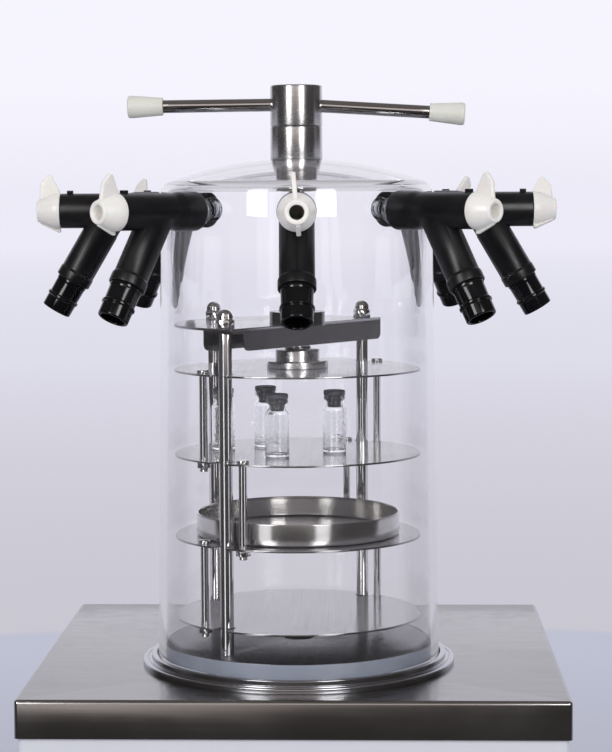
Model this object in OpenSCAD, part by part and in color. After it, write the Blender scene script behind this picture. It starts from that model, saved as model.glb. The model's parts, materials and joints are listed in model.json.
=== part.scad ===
// Bench freeze dryer: a clear drying chamber with a ring of flask valves and a
// press-down shelf rack, standing on a cabinet that holds the cold trap and its refrigeration.
// Every module works in the chamber's own frame: its axis is the Z axis and z = 0 is the deck's top.

/* [Cabinet] */
// Width of the deck, side to side
deck_w = 424; // [352:2:510]
// Deck showing ahead of the base ring
deck_margin = 20.6; // [16:0.2:50]
// Thickness of the deck's sheet
deck_t = 2; // [1.5:0.5:3]
// Height of the deck's turned-down edge
deck_lip = 30; // [20:1:40]
// Room between the compressor and the trap's insulation
bay_gap = 17.7; // [12:0.1:60]
// Room behind the fan's shroud
rear_gap = 11.7; // [8:0.1:40]
// Thickness of the cabinet's folded sheet
sheet_t = 1.5; // [1:0.5:2.5]
// Height of a foot
foot_h = 15; // [10:1:25]
// Diameter of a foot
foot_d = 40; // [30:1:50]

/* [Drum] */
// Outside radius of the drum at its foot
foot_r = 115; // [95:0.5:138]
// How much less its radius is at the shoulder
drum_draft = 5.5; // [2:0.5:8]
// Thickness of the drum's wall
drum_wall = 6; // [5:0.1:7.2]
// Height of the drum's crown above the rack's top plate
crown_room = 132; // [124:1:170]
// Radius of the rounded shoulder
shoulder_round = 14; // [10:1:20]
// Radius of the domed crown
crown_round = 300; // [260:10:400]
// Turn of the drum and its valves about the chamber's axis
drum_turn = 2; // [-10:1:10]

/* [Base] */
// Width of the base ring's flange outside its upstand
flange_w = 6.9; // [5:0.1:12]
// Thickness of the base ring's flange
ring_t = 4.5; // [3.5:0.5:6]
// Height of the ring's upstand round the drum's foot
upstand_h = 4.5; // [3:0.5:8]
// Width of the ring's upstand
upstand_w = 4.5; // [3:0.5:6]
// Thickness of the drum's seal
seal_t = 2.5; // [1.5:0.5:4]
// Height of the base plate's top above the deck
plate_z = 19.5; // [16:0.5:24]
// Diameter of the vapour hole in the base plate
vapour_d = 24; // [16:1:40]

/* [Valves] */
// Height of the valves' axes below the crown
valve_drop = 41; // [38:1:60]
// Radius of the bore in a valve's tube
tube_bore_r = 10; // [8.5:0.5:12]
// Wall of a valve's tube at its knob
tube_wall = 4; // [3:0.1:5]
// Wall of a valve's tube at the drum
sleeve_wall = 5.2; // [4:0.1:6.5]
// Distance from the drum's shoulder to the knob end of a valve's tube
tube_out = 81; // [76:0.5:98]
// Distance from the drum's shoulder to where a branch leaves its tube
branch_out = 39; // [36:0.5:46]
// Angle of a branch from the vertical
branch_tilt = 30.5; // [20:0.5:35]
// Wall of a branch round its flask socket
branch_wall = 2.3; // [1.8:0.1:3.2]
// Length of a branch from the tube's axis to its lower end
branch_len = 65.6; // [60:0.2:80]
// Length of a flask socket below its branch
socket_out = 27.5; // [20:0.5:40]
// Radius of the bore in a flask socket
socket_bore_r = 9.5; // [8.5:0.5:11.5]
// Radius of the bore in a branch above its socket
branch_bore_r = 8; // [7:0.5:8.5]
// Length of a knob outside its tube
knob_len = 19.5; // [16:0.5:24]
// Radius that the knob's fin reaches
fin_r = 29.5; // [24:0.5:32]
// Thickness of the knob's fin
fin_t = 3.4; // [2.5:0.1:5]
// Turn of each knob from upright, from the front valve on
knob_turns = [5, 0, -29, 20, -12, 25, 0, -8];

/* [Handle] */
// Radius of the polished hub
hub_r = 21; // [19:0.5:23]
// Height of the fixed half of the hub above the crown
bushing_h = 26; // [20:1:40]
// Height of the turning half of the hub
knuckle_h = 32.7; // [28:0.1:45]
// Radius of the shaft that the handle drives
shaft_r = 6.5; // [6:0.5:7.5]
// Radius of an arm of the handle
arm_r = 5.25; // [4.5:0.25:6]
// Distance from the axis to the end of an arm's cap
arm_reach = 136; // [110:1:160]
// Droop of the left arm in degrees
droop_left = 0.5; // [0:0.5:4]
// Droop of the right arm in degrees
droop_right = 3.5; // [0:0.5:4]
// Length of an arm's cap
cap_len = 28.5; // [22:0.5:40]

/* [Rack] */
// Space between the shelves' rims and the drum's wall
shelf_gap = 3.5; // [2.5:0.1:6]
// Thickness of a shelf
shelf_t = 1.5; // [1:0.25:2.5]
// Height of the lower shelf above the deck
lower_shelf_z = 41; // [40:0.5:48]
// Distance from the lower shelf to the middle shelf
lower_gap = 65.5; // [54:0.5:80]
// Distance from the middle shelf to the upper shelf
middle_gap = 66.5; // [55:0.5:80]
// Distance from the upper shelf to the press plate
upper_gap = 68.5; // [57:0.5:82]
// Radius of a rack post
post_r = 5.25; // [4.5:0.25:6]
// Distance from a post's axis to the shelves' rims
post_inset = 10; // [9:0.5:14]
// Radius of a guide rod
rod_r = 3.25; // [2.75:0.25:3.5]
// Distance from a guide rod's axis to the shelves' rims
rod_inset = 8.5; // [7.5:0.5:10]
// Distance from the press plate to the rack's top plate
press_room = 36.5; // [34:0.5:50]
// Thickness of the top plate and of the bridge's sheet
bridge_t = 2; // [1.5:0.5:2.5]
// Width of the bridge
bridge_w = 28; // [26:1:34]
// Height of the bridge
bridge_h = 16; // [12:1:17]
// Radius of the press screw
screw_r = 11; // [9:0.5:12]

/* [Contents] */
// Space between the tray and the heads of the guide rods
tray_gap = 3.6; // [2:0.1:20]
// Height of the tray
tray_h = 18; // [12:1:30]
// Outside radius of a vial
vial_r = 9.6; // [8:0.1:11]
// Height of a vial's glass
vial_h = 46; // [40:1:50]

/* [Cold trap] */
// How far the base plate reaches past the mouth of the cold trap
plate_lap = 8; // [6:0.5:14]
// Depth of the cold trap below the deck
trap_depth = 160; // [130:5:195]
// Thickness of the cold trap's wall
trap_t = 1.5; // [1:0.5:2]
// Radius of the evaporator's tube
coil_r = 4; // [3:0.5:5]
// Thickness of the insulation round the evaporator
foam_t = 26; // [10:1:26]
// Inside radius of the vacuum port
port_r = 12; // [8:1:13]

/* [Hidden] */
valve_count = 8;
VALVES = [1 : valve_count];
$fn = 96;

// Clearances
run_fit = 0.08;      // a shaft in its bore
slide_fit = 0.5;     // a rod in a shelf's hole
plug_fit = 0.1;      // a knob's stem in its tube
air = 0.3;           // faces that pass one another
thread_fit = 0.05;   // a nut on its stud
sheet_gap = 0.3;     // one folded sheet inside another
eps = 1;             // how far a cut runs past its face

// Colours
steel = [0.75, 0.75, 0.76];
dark_steel = [0.45, 0.45, 0.47];
ivory = [0.93, 0.92, 0.86];
black = [0.06, 0.06, 0.07];
grey = [0.8, 0.81, 0.82];

// Base
seat_z = ring_t;
drum_z = seat_z + seal_t;
upstand_in = foot_r + 1;
upstand_out = upstand_in + upstand_w;
ring_r = upstand_out + flange_w;
plate_r = foot_r - drum_wall - 1;
plate_t = 2;
trap_r = plate_r - plate_lap;
trap_flange_r = plate_r + 4;
probe_r = 2.5;
probe_place = [68, -10];

// Heights of the rack
middle_shelf_z = lower_shelf_z + lower_gap;
upper_shelf_z = middle_shelf_z + middle_gap;
press_z = upper_shelf_z + upper_gap;
top_plate_z = press_z + press_room;
crown_z = top_plate_z + crown_room;
valve_z = crown_z - valve_drop;

// Drum
shoulder_r = foot_r - drum_draft;
crown_c = crown_z - sqrt(pow(crown_round, 2) - pow(hub_r + 1, 2));
round_r = shoulder_r - shoulder_round;
round_z = crown_c + sqrt(pow(crown_round - shoulder_round, 2) - pow(round_r, 2));
round_a = asin(round_r / (crown_round - shoulder_round));
flat_a = asin((hub_r + 1) / crown_round);
spigot_hole_r = 12;                  // hole in the crown for the hub's spigot
function wall_r(z) = foot_r - (foot_r - shoulder_r) * (z - drum_z) / (round_z - drum_z);

// Valves
function valve_angle(i) = 270 + drum_turn + (i - 1) * 360 / valve_count;
tube_r = tube_bore_r + tube_wall;
sleeve_r = tube_bore_r + sleeve_wall;
sleeve_start = wall_r(valve_z) + air;
sleeve_len = 20;
sleeve_taper = 6;
spigot_in = shoulder_r - 10;
spigot_end = sleeve_start + sleeve_len;
spigot_wall = 3.5;
tube_end = shoulder_r + tube_out;
knob_tip = tube_end + knob_len;
branch_u = shoulder_r + branch_out;
socket_r = socket_bore_r + 2.7;
socket_tail_r = socket_bore_r + 1.5;
socket_tail = 22;
branch_r = socket_tail_r + branch_wall;
collar_len = 8.2;
collar_r = branch_r + 1;
ridge_at = 15;
ridge_w = 1.6;
ridge_h = 0.9;
knob_r = tube_r + 0.2;
nose_r = tube_bore_r - 0.8;
vent_r = 5.5;
stem_hole_r = 4;                     // hole in a knob's stem, turned to the branch to open the valve
stem_hole_u = branch_u + tube_bore_r * tan(branch_tilt);
vent_start = stem_hole_u - stem_hole_r - 2;

// Hub and handle
hub_z = crown_z + bushing_h;
hub_top = hub_z + air + knuckle_h;
arm_z = hub_z + air + knuckle_h * 0.53;
hub_nut_r = 17.5;
hub_nut_h = 15.5;
arm_start = 10;
cap_start = arm_reach - cap_len;
cap_bore = 15;

// Rack
shelf_r = shoulder_r - drum_wall - shelf_gap;
post_ring = shelf_r - post_inset;
rod_ring = shelf_r - rod_inset;
post_angles = [54, 144, 234];
bridge_angle = post_angles[0];
slot_w = 2 * post_r + 2.5;
outer_rods = [219, 44];              // rods of the upper and of the lower gap
inner_rods = [244.5, 64.5];          // rods of the middle gap
head_r = rod_r + 1.65;
head_h = 2.5;
rod_nut_af = 2 * rod_r + 3.5;
rod_nut_h = 5;
rod_stub = 3;
stud_r = 4;
stud_nut_af = 13;
acorn_h = 14.6;
acorn_hex_h = 6.5;
foot_nut_h = 6;
web_z = top_plate_z - bridge_t;      // top of the bridge
boss_r = 22.5;
boss_top = top_plate_z + 9;
bearing_flange_r = 25;
bearing_flange_h = 5.5;
bearing_r = 18;
bearing_h = 9;
bearing_z = press_z + bearing_flange_h + bearing_h;
journal_r = 7;
journal_len = 9;
drive_af = 12;
drive_len = 18;
screw_top = boss_top + 6;
socket_wall_r = 11.5;
socket_foot_z = screw_top + 1.2;
drive_socket_h = 26;

// Contents
vial_places = [[-15, -37], [-28, 34], [30, -5], [-62, 14]];
vial_wall = 1.1;
neck_r = 6.8;
lip_r = 8.6;
lip_h = 3.5;
stopper_r = 8.8;
stopper_h = 4;
stopper_gap = 0.3;
stopper_leg = 10;
tray_t = 1;
tray_r = rod_ring - head_r - tray_gap;

// Cold trap and what surrounds it
coil_sides = 8;
coil_steps = 24;
coil_ring = (trap_r + trap_t + coil_r + air) / cos(180 / coil_steps);
coil_pitch = 2 * coil_r + 5;
port_wall = 2;
port_flange_r = 20;
port_flange_h = 4;
port_seat_r = port_r + 1.1;          // seat of a centring ring in the port's flange
port_seat = 3;
port_z = -deck_lip - port_flange_r - 4;
coil_top = port_z - port_r - port_wall - coil_r - 3;
coil_turns = floor((trap_depth + coil_top - coil_r) / coil_pitch);
foam_in = coil_ring + coil_r + 0.7;
foam_out = foam_in + foam_t;
foam_floor = 20;
foam_z = -deck_t - air;

// Machine bay
comp_r = 68;
comp_h = 112;
comp_lift = 14;
comp_bolt = 8;                       // how far the dome's bolts stand above it
core_w = 180;
core_h = 165;
core_d = 40;
core_y = ceil(foam_out) + 12;
shroud_d = 42;

// Cabinet
cabinet_h = trap_depth + trap_t + air + foam_floor + bay_gap + comp_bolt + comp_h + comp_lift + sheet_t;
deck_front = ring_r + deck_margin;
deck_back = core_y + core_d + shroud_d + rear_gap + sheet_gap + deck_t;
deck_z = foot_h + cabinet_h;
port_out = 20;                       // how far the vacuum port stands out of the rear
chamber_y = (knob_tip - deck_back - port_out) / 2;
floor_z = -cabinet_h;
wrap_x = deck_w / 2 - deck_t - sheet_gap;
wrap_front = -(deck_front - deck_t - sheet_gap);
wrap_back = deck_back - deck_t - sheet_gap;
pan_x = wrap_x - sheet_t - sheet_gap;
pan_front = wrap_front + sheet_t + sheet_gap;
rear_in = wrap_back - sheet_t;
foot_inset = 32;
fan_x = pan_x - core_w / 2 - 17.9;
fan_z = floor_z + 98;
fan_r = 66;
fan_opening_r = 70;
fan_pin_r = 3;
fan_hub_r = 20;
fan_hub_h = 12;
fan_y = core_y + core_d + 20;
blade_w = 30;
blade_t = 2;
blade_pitch = 32;
blade_sweep = (blade_w * sin(blade_pitch) + blade_t * cos(blade_pitch)) / 2;   // half the blades' depth
comp_place = [comp_r + 41.9 - pan_x, 20];
drain_r = 6;
drain_bore_r = 4;
drain_z = -trap_depth - trap_t - 30;
drain_end = wrap_front - 60;
hose_tail_r = 7;
hose_tail_len = 18;
valve_block = 15;
lever_y = wrap_front - valve_block - 4;
lever_pin_r = 5;
lever_len = 42;
panel_w = 150;
panel_h = 96;
panel_x = (deck_w - panel_w) / 2 - 27;
panel_z = -95;
inlet_x = 87.9 - pan_x;
inlet_z = floor_z + 60;
inlet_w = 30;
inlet_h = 62;
rocker_w = 13;
rocker_h = 20;
rocker_z = inlet_z + 16;
rocker_in = 4;                       // how far the rocker's pin lies behind the rear's face
rocker_pin_r = 1.5;
rocker_deep = 14;
rocker_tilt = 8;

// Geometry helpers
module in_chamber() translate([0, chamber_y, deck_z]) children();
module in_valve(i) in_chamber() rotate([0, 0, valve_angle(i)]) translate([0, 0, valve_z]) children();
module in_branch() translate([branch_u, 0, 0]) rotate([0, 180 - branch_tilt, 0]) children();
module lathe_x() rotate([0, 90, 0]) rotate_extrude() children();
module around(angles, ring) for (a = angles) rotate([0, 0, a]) translate([ring, 0, 0]) children();
module slab(low, high) translate(low) cube(high - low);
module hex(af, h) cylinder(r = af / 2 / cos(30), h = h, $fn = 6);
function arc(c, r, a0, a1, n) =
    [for (i = [0 : n]) let (a = a0 + (a1 - a0) * i / n) [c[0] + r * cos(a), c[1] + r * sin(a)]];

// Section of the drum's outside, drawn in by an inset for its inside
function drum_line(inset) = concat(
    [[foot_r - inset, drum_z]],
    arc([round_r, round_z], shoulder_round - inset, 0, 90 - round_a, 10),
    arc([0, crown_c], crown_round - inset, 91 - round_a, 90 - flat_a, 10),
    [[spigot_hole_r, crown_z - inset]]);
function reversed(list) = [for (i = [len(list) - 1 : -1 : 0]) list[i]];

// Drum and what it carries
module drum() {
    color([0.85, 0.87, 0.92, 0.35]) in_chamber() difference() {
        rotate_extrude() polygon(concat(drum_line(0), reversed(drum_line(drum_wall))));
        for (i = VALVES) rotate([0, 0, valve_angle(i)]) translate([shoulder_r - 3 * drum_wall, 0, valve_z])
            rotate([0, 90, 0]) cylinder(r = tube_bore_r, h = 6 * drum_wall);
    }
}

module valve_spigots() {
    color([0.55, 0.57, 0.6]) for (i = VALVES) in_valve(i) translate([spigot_in, 0, 0]) rotate([0, 90, 0])
        difference() {
            cylinder(r = tube_bore_r, h = spigot_end - spigot_in);
            translate([0, 0, -eps])
                cylinder(r = tube_bore_r - spigot_wall, h = spigot_end - spigot_in + 2 * eps);
        }
}

// Rubber tube with its slanted branch
module valve_body(i) {
    lug = [5, 5, 2.4];
    round = 3;
    color(black) in_valve(i) difference() {
        union() {
            lathe_x() polygon(concat(
                [[0, sleeve_start]],
                arc([sleeve_r - round, sleeve_start + round], round, -90, 0, 5),
                [[sleeve_r, spigot_end], [tube_r, spigot_end + sleeve_taper],
                 [tube_r, tube_end], [0, tube_end]]));
            in_branch() cylinder(r = branch_r, h = branch_len);
            in_branch() translate([0, 0, branch_len - collar_len]) cylinder(r = collar_r, h = collar_len);
            translate([tube_end - 2 * lug[0], -lug[1] / 2, tube_r - 1]) cube(lug + [0, 0, 1]);
        }
        translate([sleeve_start - eps, 0, 0]) rotate([0, 90, 0])
            cylinder(r = tube_bore_r, h = tube_end - sleeve_start + 2 * eps);
        in_branch() cylinder(r = branch_bore_r, h = branch_len + eps);
        in_branch() translate([0, 0, branch_len - socket_tail])
            cylinder(r = socket_tail_r, h = socket_tail + eps);
    }
}

// Ribbed sleeves that grip a flask's neck
module flask_sockets() {
    mouth = 1.6;
    color([0.03, 0.03, 0.03]) for (i = VALVES) in_valve(i) in_branch() translate([0, 0, branch_len])
        rotate_extrude() polygon(concat(
            [[socket_bore_r, -socket_tail], [socket_tail_r, -socket_tail], [socket_tail_r, 0],
             [socket_r, 0], [socket_r - 0.3, ridge_at], [socket_r + ridge_h, ridge_at],
             [socket_r + ridge_h, ridge_at + ridge_w],
             [socket_r, ridge_at + ridge_w + ridge_h]],
            arc([socket_r - 0.2 - mouth, socket_out - mouth], mouth, 0, 90, 5),
            [[socket_bore_r, socket_out]]));
}

// Hollow plug with a fin to turn it by
module valve_knob(i) {
    head = tube_end + air;
    stem_start = spigot_end + 4;
    color(ivory) in_valve(i) rotate([knob_turns[i - 1], 0, 0]) difference() {
        union() {
            lathe_x() polygon(concat(
                [[0, stem_start], [tube_bore_r - plug_fit, stem_start], [tube_bore_r - plug_fit, head],
                 [knob_r, head], [knob_r, head + 3]],
                arc([nose_r - 1.5, knob_tip - 1.5], 1.5, 20, 90, 4),
                [[0, knob_tip]]));
            translate([0, fin_t / 2, 0]) rotate([90, 0, 0]) linear_extrude(fin_t) union() {
                polygon([[head, 8], [head, knob_r + 0.5], [head + 7, fin_r - 1], [head + 8.5, fin_r],
                         [head + 10.5, fin_r - 0.6], [knob_tip - 2.5, fin_r - 7], [knob_tip - 1.5, 8]]);
                polygon([[head, -8], [head, -knob_r - 3.3], [head + 2, -knob_r - 3.3],
                         [knob_tip - 2, -nose_r - 1],
                         [knob_tip - 2, -8]]);
            }
        }
        translate([vent_start, 0, 0]) rotate([0, 90, 0])
            cylinder(r = vent_r, h = knob_tip - vent_start + eps);
        translate([stem_hole_u, 0, 0]) cylinder(r = stem_hole_r, h = tube_bore_r);
    }
}

// Polished hub on the crown
module hub_bushing() {
    chamfer = 0.8;
    spigot = drum_wall + hub_nut_h + 2;
    color(steel) in_chamber() rotate_extrude() polygon([
        [shaft_r + run_fit, crown_z - spigot], [spigot_hole_r, crown_z - spigot], [spigot_hole_r, crown_z],
        [hub_r, crown_z], [hub_r, hub_z - chamfer], [hub_r - chamfer, hub_z], [shaft_r + run_fit, hub_z]]);
}

module hub_nut() {
    top = crown_z - drum_wall;
    color(dark_steel) in_chamber() translate([0, 0, top - hub_nut_h]) difference() {
        union() {
            cylinder(r = hub_nut_r - 1, h = hub_nut_h);
            cylinder(r = hub_nut_r, h = 3);
        }
        translate([0, 0, -eps]) cylinder(r = spigot_hole_r + thread_fit, h = hub_nut_h + 2 * eps);
    }
}

// One arm's frame: its axis is X, dropping by the arm's droop
module in_arm(side) {
    droop = side > 0 ? droop_right : droop_left;
    in_chamber() translate([0, 0, arm_z]) rotate([0, 0, side > 0 ? 0 : 180]) rotate([0, droop, 0])
        children();
}

module handle_hub() {
    chamfer = 1.2;
    base = hub_z + air;
    color(steel) difference() {
        in_chamber() rotate_extrude() polygon([
            [0, base], [hub_r - chamfer, base], [hub_r, base + chamfer], [hub_r, hub_top - chamfer],
            [hub_r - chamfer, hub_top], [0, hub_top]]);
        in_chamber() translate([0, 0, base - eps]) cylinder(r = shaft_r, h = arm_z - base + eps);
        for (side = [-1, 1]) in_arm(side) translate([arm_start, 0, 0]) rotate([0, 90, 0])
            cylinder(r = arm_r, h = hub_r);
    }
}

module drive_shaft() {
    color(steel) in_chamber() difference() {
        union() {
            translate([0, 0, socket_foot_z + drive_socket_h - eps])
                cylinder(r = shaft_r, h = arm_z - arm_r - 1 - socket_foot_z - drive_socket_h + eps);
            translate([0, 0, socket_foot_z]) cylinder(r = socket_wall_r, h = drive_socket_h);
        }
        translate([0, 0, socket_foot_z - eps]) hex(drive_af + 2 * air, drive_len + 2 * eps);
    }
}

module handle_rods() {
    color(steel) for (side = [-1, 1]) in_arm(side) translate([arm_start, 0, 0]) rotate([0, 90, 0])
        cylinder(r = arm_r, h = cap_start + cap_bore - arm_start);
}

module handle_caps() {
    inner_r = arm_r + 1.9;
    outer_r = arm_r + 3.9;
    round = 1.2;
    color(ivory) for (side = [-1, 1]) in_arm(side) lathe_x() polygon(concat(
        [[arm_r, cap_start], [inner_r - 0.6, cap_start], [inner_r, cap_start + 0.6]],
        arc([outer_r - round, arm_reach - round], round, 0, 90, 5),
        [[0, arm_reach], [0, cap_start + cap_bore], [arm_r, cap_start + cap_bore]]));
}

// Press
module press_screw() {
    foot = bearing_z + air;
    color(dark_steel) in_chamber() union() {
        translate([0, 0, foot - journal_len]) cylinder(r = journal_r, h = journal_len + eps);
        translate([0, 0, foot]) cylinder(r = screw_r, h = screw_top - foot);
        translate([0, 0, screw_top - eps]) hex(drive_af, drive_len + eps);
    }
}

module press_bearing() {
    chamfer = 0.6;
    color(steel) in_chamber() difference() {
        rotate_extrude() polygon([
            [0, press_z], [bearing_flange_r, press_z],
            [bearing_flange_r, press_z + bearing_flange_h - chamfer],
            [bearing_flange_r - chamfer, press_z + bearing_flange_h],
            [bearing_r, press_z + bearing_flange_h],
            [bearing_r, bearing_z - chamfer], [bearing_r - chamfer, bearing_z], [0, bearing_z]]);
        translate([0, 0, bearing_z - journal_len]) cylinder(r = journal_r + run_fit, h = journal_len + eps);
    }
}

// A shelf with open slots for the posts, tight holes for its own rods and free holes for the rods above
module shelf(z, own_rods, upper_rods) {
    color(steel) in_chamber() translate([0, 0, z - shelf_t]) difference() {
        cylinder(r = shelf_r, h = shelf_t);
        for (a = post_angles) rotate([0, 0, a]) translate([post_ring, 0, -eps]) {
            cylinder(r = slot_w / 2, h = shelf_t + 2 * eps);
            translate([0, -slot_w / 2, 0]) cube([shelf_r, slot_w, shelf_t + 2 * eps]);
        }
        around(own_rods, rod_ring) translate([0, 0, -eps]) cylinder(r = rod_r, h = shelf_t + 2 * eps);
        around(upper_rods, rod_ring) translate([0, 0, -eps])
            cylinder(r = rod_r + slide_fit, h = shelf_t + 2 * eps);
    }
}

module press_plate() shelf(press_z, outer_rods, []);
module upper_shelf() shelf(upper_shelf_z, inner_rods, outer_rods);
module middle_shelf() shelf(middle_shelf_z, outer_rods, inner_rods);
module lower_shelf() shelf(lower_shelf_z, [], outer_rods);

// Headed rods that hang one shelf from the next, each with the nut that the lower shelf rests on
module guides(z, gap, angles) {
    nut_top = z - gap - shelf_t;
    foot = nut_top - rod_nut_h - rod_stub;
    color(steel) in_chamber() around(angles, rod_ring) {
        translate([0, 0, foot]) cylinder(r = rod_r, h = z - foot);
        translate([0, 0, z]) cylinder(r = head_r, h = head_h);
        translate([0, 0, nut_top - rod_nut_h]) difference() {
            hex(rod_nut_af, rod_nut_h);
            translate([0, 0, -eps]) cylinder(r = rod_r + thread_fit, h = rod_nut_h + 2 * eps);
        }
    }
}

module upper_guides() guides(press_z, upper_gap, outer_rods);
module middle_guides() guides(upper_shelf_z, middle_gap, inner_rods);
module lower_guides() guides(middle_shelf_z, lower_gap, outer_rods);

// Contents
module vial_glass() {
    shoulder = vial_h - lip_h - 7;
    inner = vial_r - vial_wall;
    rotate_extrude() polygon([
        [0, 0], [vial_r - 1, 0], [vial_r, 1], [vial_r, shoulder], [neck_r, shoulder + 3.5],
        [neck_r, vial_h - lip_h], [lip_r, vial_h - lip_h], [lip_r, vial_h],
        [neck_r - vial_wall, vial_h], [neck_r - vial_wall, shoulder + 3],
        [inner, shoulder - 0.5], [inner, 1.5 * vial_wall], [0, 1.5 * vial_wall]]);
}

module vials() {
    color([0.9, 0.93, 0.95, 0.35]) in_chamber() for (p = vial_places)
        translate([p[0], p[1], upper_shelf_z]) vial_glass();
}

module vial_stoppers() {
    leg_r = neck_r - vial_wall;
    color([0.25, 0.25, 0.27]) in_chamber() for (p = vial_places)
        translate([p[0], p[1], upper_shelf_z + vial_h + stopper_gap]) difference() {
            union() {
                cylinder(r = stopper_r, h = stopper_h);
                translate([0, 0, -stopper_leg]) cylinder(r = leg_r, h = stopper_leg + eps);
            }
            translate([-leg_r - eps, -1, -stopper_leg - eps])
                cube([2 * leg_r + 2 * eps, 2, 0.7 * stopper_leg]);
        }
}

module tray() {
    color(steel) in_chamber() translate([0, 0, middle_shelf_z]) rotate_extrude() polygon([
        [0, 0], [tray_r - 1, 0], [tray_r, 1], [tray_r, tray_h - 0.5], [tray_r - 0.5, tray_h],
        [tray_r - tray_t, tray_h], [tray_r - tray_t, tray_t + 0.5],
        [tray_r - tray_t - 0.5, tray_t], [0, tray_t]]);
}

// Rack
module rack_posts() {
    stud = plate_t + foot_nut_h + 2;
    color(steel) in_chamber() for (a = post_angles) {
        under = a == post_angles[1] ? web_z : web_z - bridge_t;
        rotate([0, 0, a]) translate([post_ring, 0, 0]) {
            translate([0, 0, plate_z]) cylinder(r = post_r, h = under - plate_z);
            translate([0, 0, plate_z - stud]) cylinder(r = stud_r, h = stud + eps);
            translate([0, 0, under - eps]) cylinder(r = stud_r, h = top_plate_z - under + 8 + eps);
        }
    }
}

module rack_nuts() {
    dome_r = stud_nut_af / 2 - 0.3;
    color(steel) in_chamber() around(post_angles, post_ring) {
        translate([0, 0, top_plate_z]) difference() {
            union() {
                hex(stud_nut_af, acorn_hex_h);
                cylinder(r = dome_r, h = acorn_h - dome_r);
                translate([0, 0, acorn_h - dome_r]) sphere(r = dome_r);
            }
            translate([0, 0, -eps]) cylinder(r = stud_r + thread_fit, h = 9 + eps);
        }
        translate([0, 0, plate_z - plate_t - foot_nut_h]) difference() {
            hex(stud_nut_af, foot_nut_h);
            translate([0, 0, -eps]) cylinder(r = stud_r + thread_fit, h = foot_nut_h + 2 * eps);
        }
    }
}

// Disc cut straight along the near edge of the bridge
module top_plate() {
    color(steel) in_chamber() rotate([0, 0, bridge_angle]) translate([0, 0, web_z]) difference() {
        intersection() {
            cylinder(r = shelf_r, h = bridge_t);
            translate([-shelf_r, -bridge_w / 2, -eps]) cube([2 * shelf_r, 2 * shelf_r, bridge_t + 2 * eps]);
        }
        translate([0, 0, -eps]) cylinder(r = boss_r + air, h = bridge_t + 2 * eps);
        rotate([0, 0, -bridge_angle]) around(post_angles, post_ring) translate([0, 0, -eps])
            cylinder(r = stud_r + air, h = bridge_t + 2 * eps);
    }
}

// A flange of the bridge: a strip with its lower corners rounded
module bridge_flange(low, high) {
    r = bridge_h / 3;
    rotate([90, 0, 0]) linear_extrude(bridge_t) union() {
        translate([low, r - bridge_h]) square([high - low, bridge_h - r]);
        translate([low + r, -bridge_h]) square([high - low - 2 * r, bridge_h]);
        for (x = [low + r, high - r]) translate([x, r - bridge_h]) circle(r = r);
    }
}

module bridge() {
    half = sqrt(pow(shelf_r, 2) - pow(bridge_w / 2, 2)) - 0.5;
    near_start = post_r + 2 - post_ring;
    color(dark_steel) in_chamber() rotate([0, 0, bridge_angle]) translate([0, 0, web_z]) difference() {
        union() {
            translate([-half, -bridge_w / 2, -bridge_t]) cube([2 * half, bridge_w, bridge_t]);
            translate([0, -bridge_w / 2 + bridge_t, 0]) bridge_flange(near_start, half);
            translate([0, bridge_w / 2, 0]) bridge_flange(-half, half);
            translate([0, 0, -bridge_t]) cylinder(r = bridge_w / 2 - bridge_t, h = bridge_t + eps);
            cylinder(r = boss_r, h = boss_top - web_z);
        }
        translate([0, 0, -bridge_h]) cylinder(r = screw_r + run_fit, h = 2 * bridge_h + boss_top - web_z);
        for (x = [-post_ring, post_ring]) translate([x, 0, -bridge_t - eps])
            cylinder(r = stud_r + air, h = bridge_t + 2 * eps);
    }
}

// Base
module base_plate() {
    skirt_t = 2;
    edge = 0.8;
    color(dark_steel) in_chamber() difference() {
        rotate_extrude() polygon([
            [vapour_d / 2, plate_z - plate_t], [plate_r - skirt_t, plate_z - plate_t],
            [plate_r - skirt_t, seat_z], [plate_r, seat_z],
            [plate_r, plate_z - edge], [plate_r - edge, plate_z], [vapour_d / 2, plate_z]]);
        around(post_angles, post_ring) translate([0, 0, plate_z - plate_t - eps])
            cylinder(r = stud_r + air, h = plate_t + 2 * eps);
        translate([probe_place[0], probe_place[1], plate_z - plate_t - eps])
            cylinder(r = probe_r, h = plate_t + 2 * eps);
    }
}

module base_ring() {
    round = 1.5;
    edge = 0.6;
    color(steel) in_chamber() rotate_extrude() polygon(concat(
        [[trap_r + trap_t, trap_t], [trap_flange_r + air, trap_t], [trap_flange_r + air, 0], [ring_r, 0]],
        arc([ring_r - round, seat_z - round], round, 0, 90, 5),
        [[upstand_out, seat_z], [upstand_out, seat_z + upstand_h - edge],
         [upstand_out - edge, seat_z + upstand_h],
         [upstand_in, seat_z + upstand_h], [upstand_in, seat_z], [trap_r + trap_t, seat_z]]));
}

module drum_seal() {
    color([0.75, 0.78, 0.82]) in_chamber() translate([0, 0, seat_z]) difference() {
        cylinder(r = upstand_in - 0.1, h = seal_t);
        translate([0, 0, -eps]) cylinder(r = plate_r + 0.4, h = seal_t + 2 * eps);
    }
}

module deck() {
    color(steel) in_chamber() difference() {
        slab([-deck_w / 2, -deck_front, -deck_lip], [deck_w / 2, deck_back, 0]);
        slab([deck_t - deck_w / 2, deck_t - deck_front, -deck_lip - eps],
             [deck_w / 2 - deck_t, deck_back - deck_t, -deck_t]);
        translate([0, 0, -deck_t - eps]) cylinder(r = trap_r + trap_t + air, h = deck_t + 2 * eps);
    }
}

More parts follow.
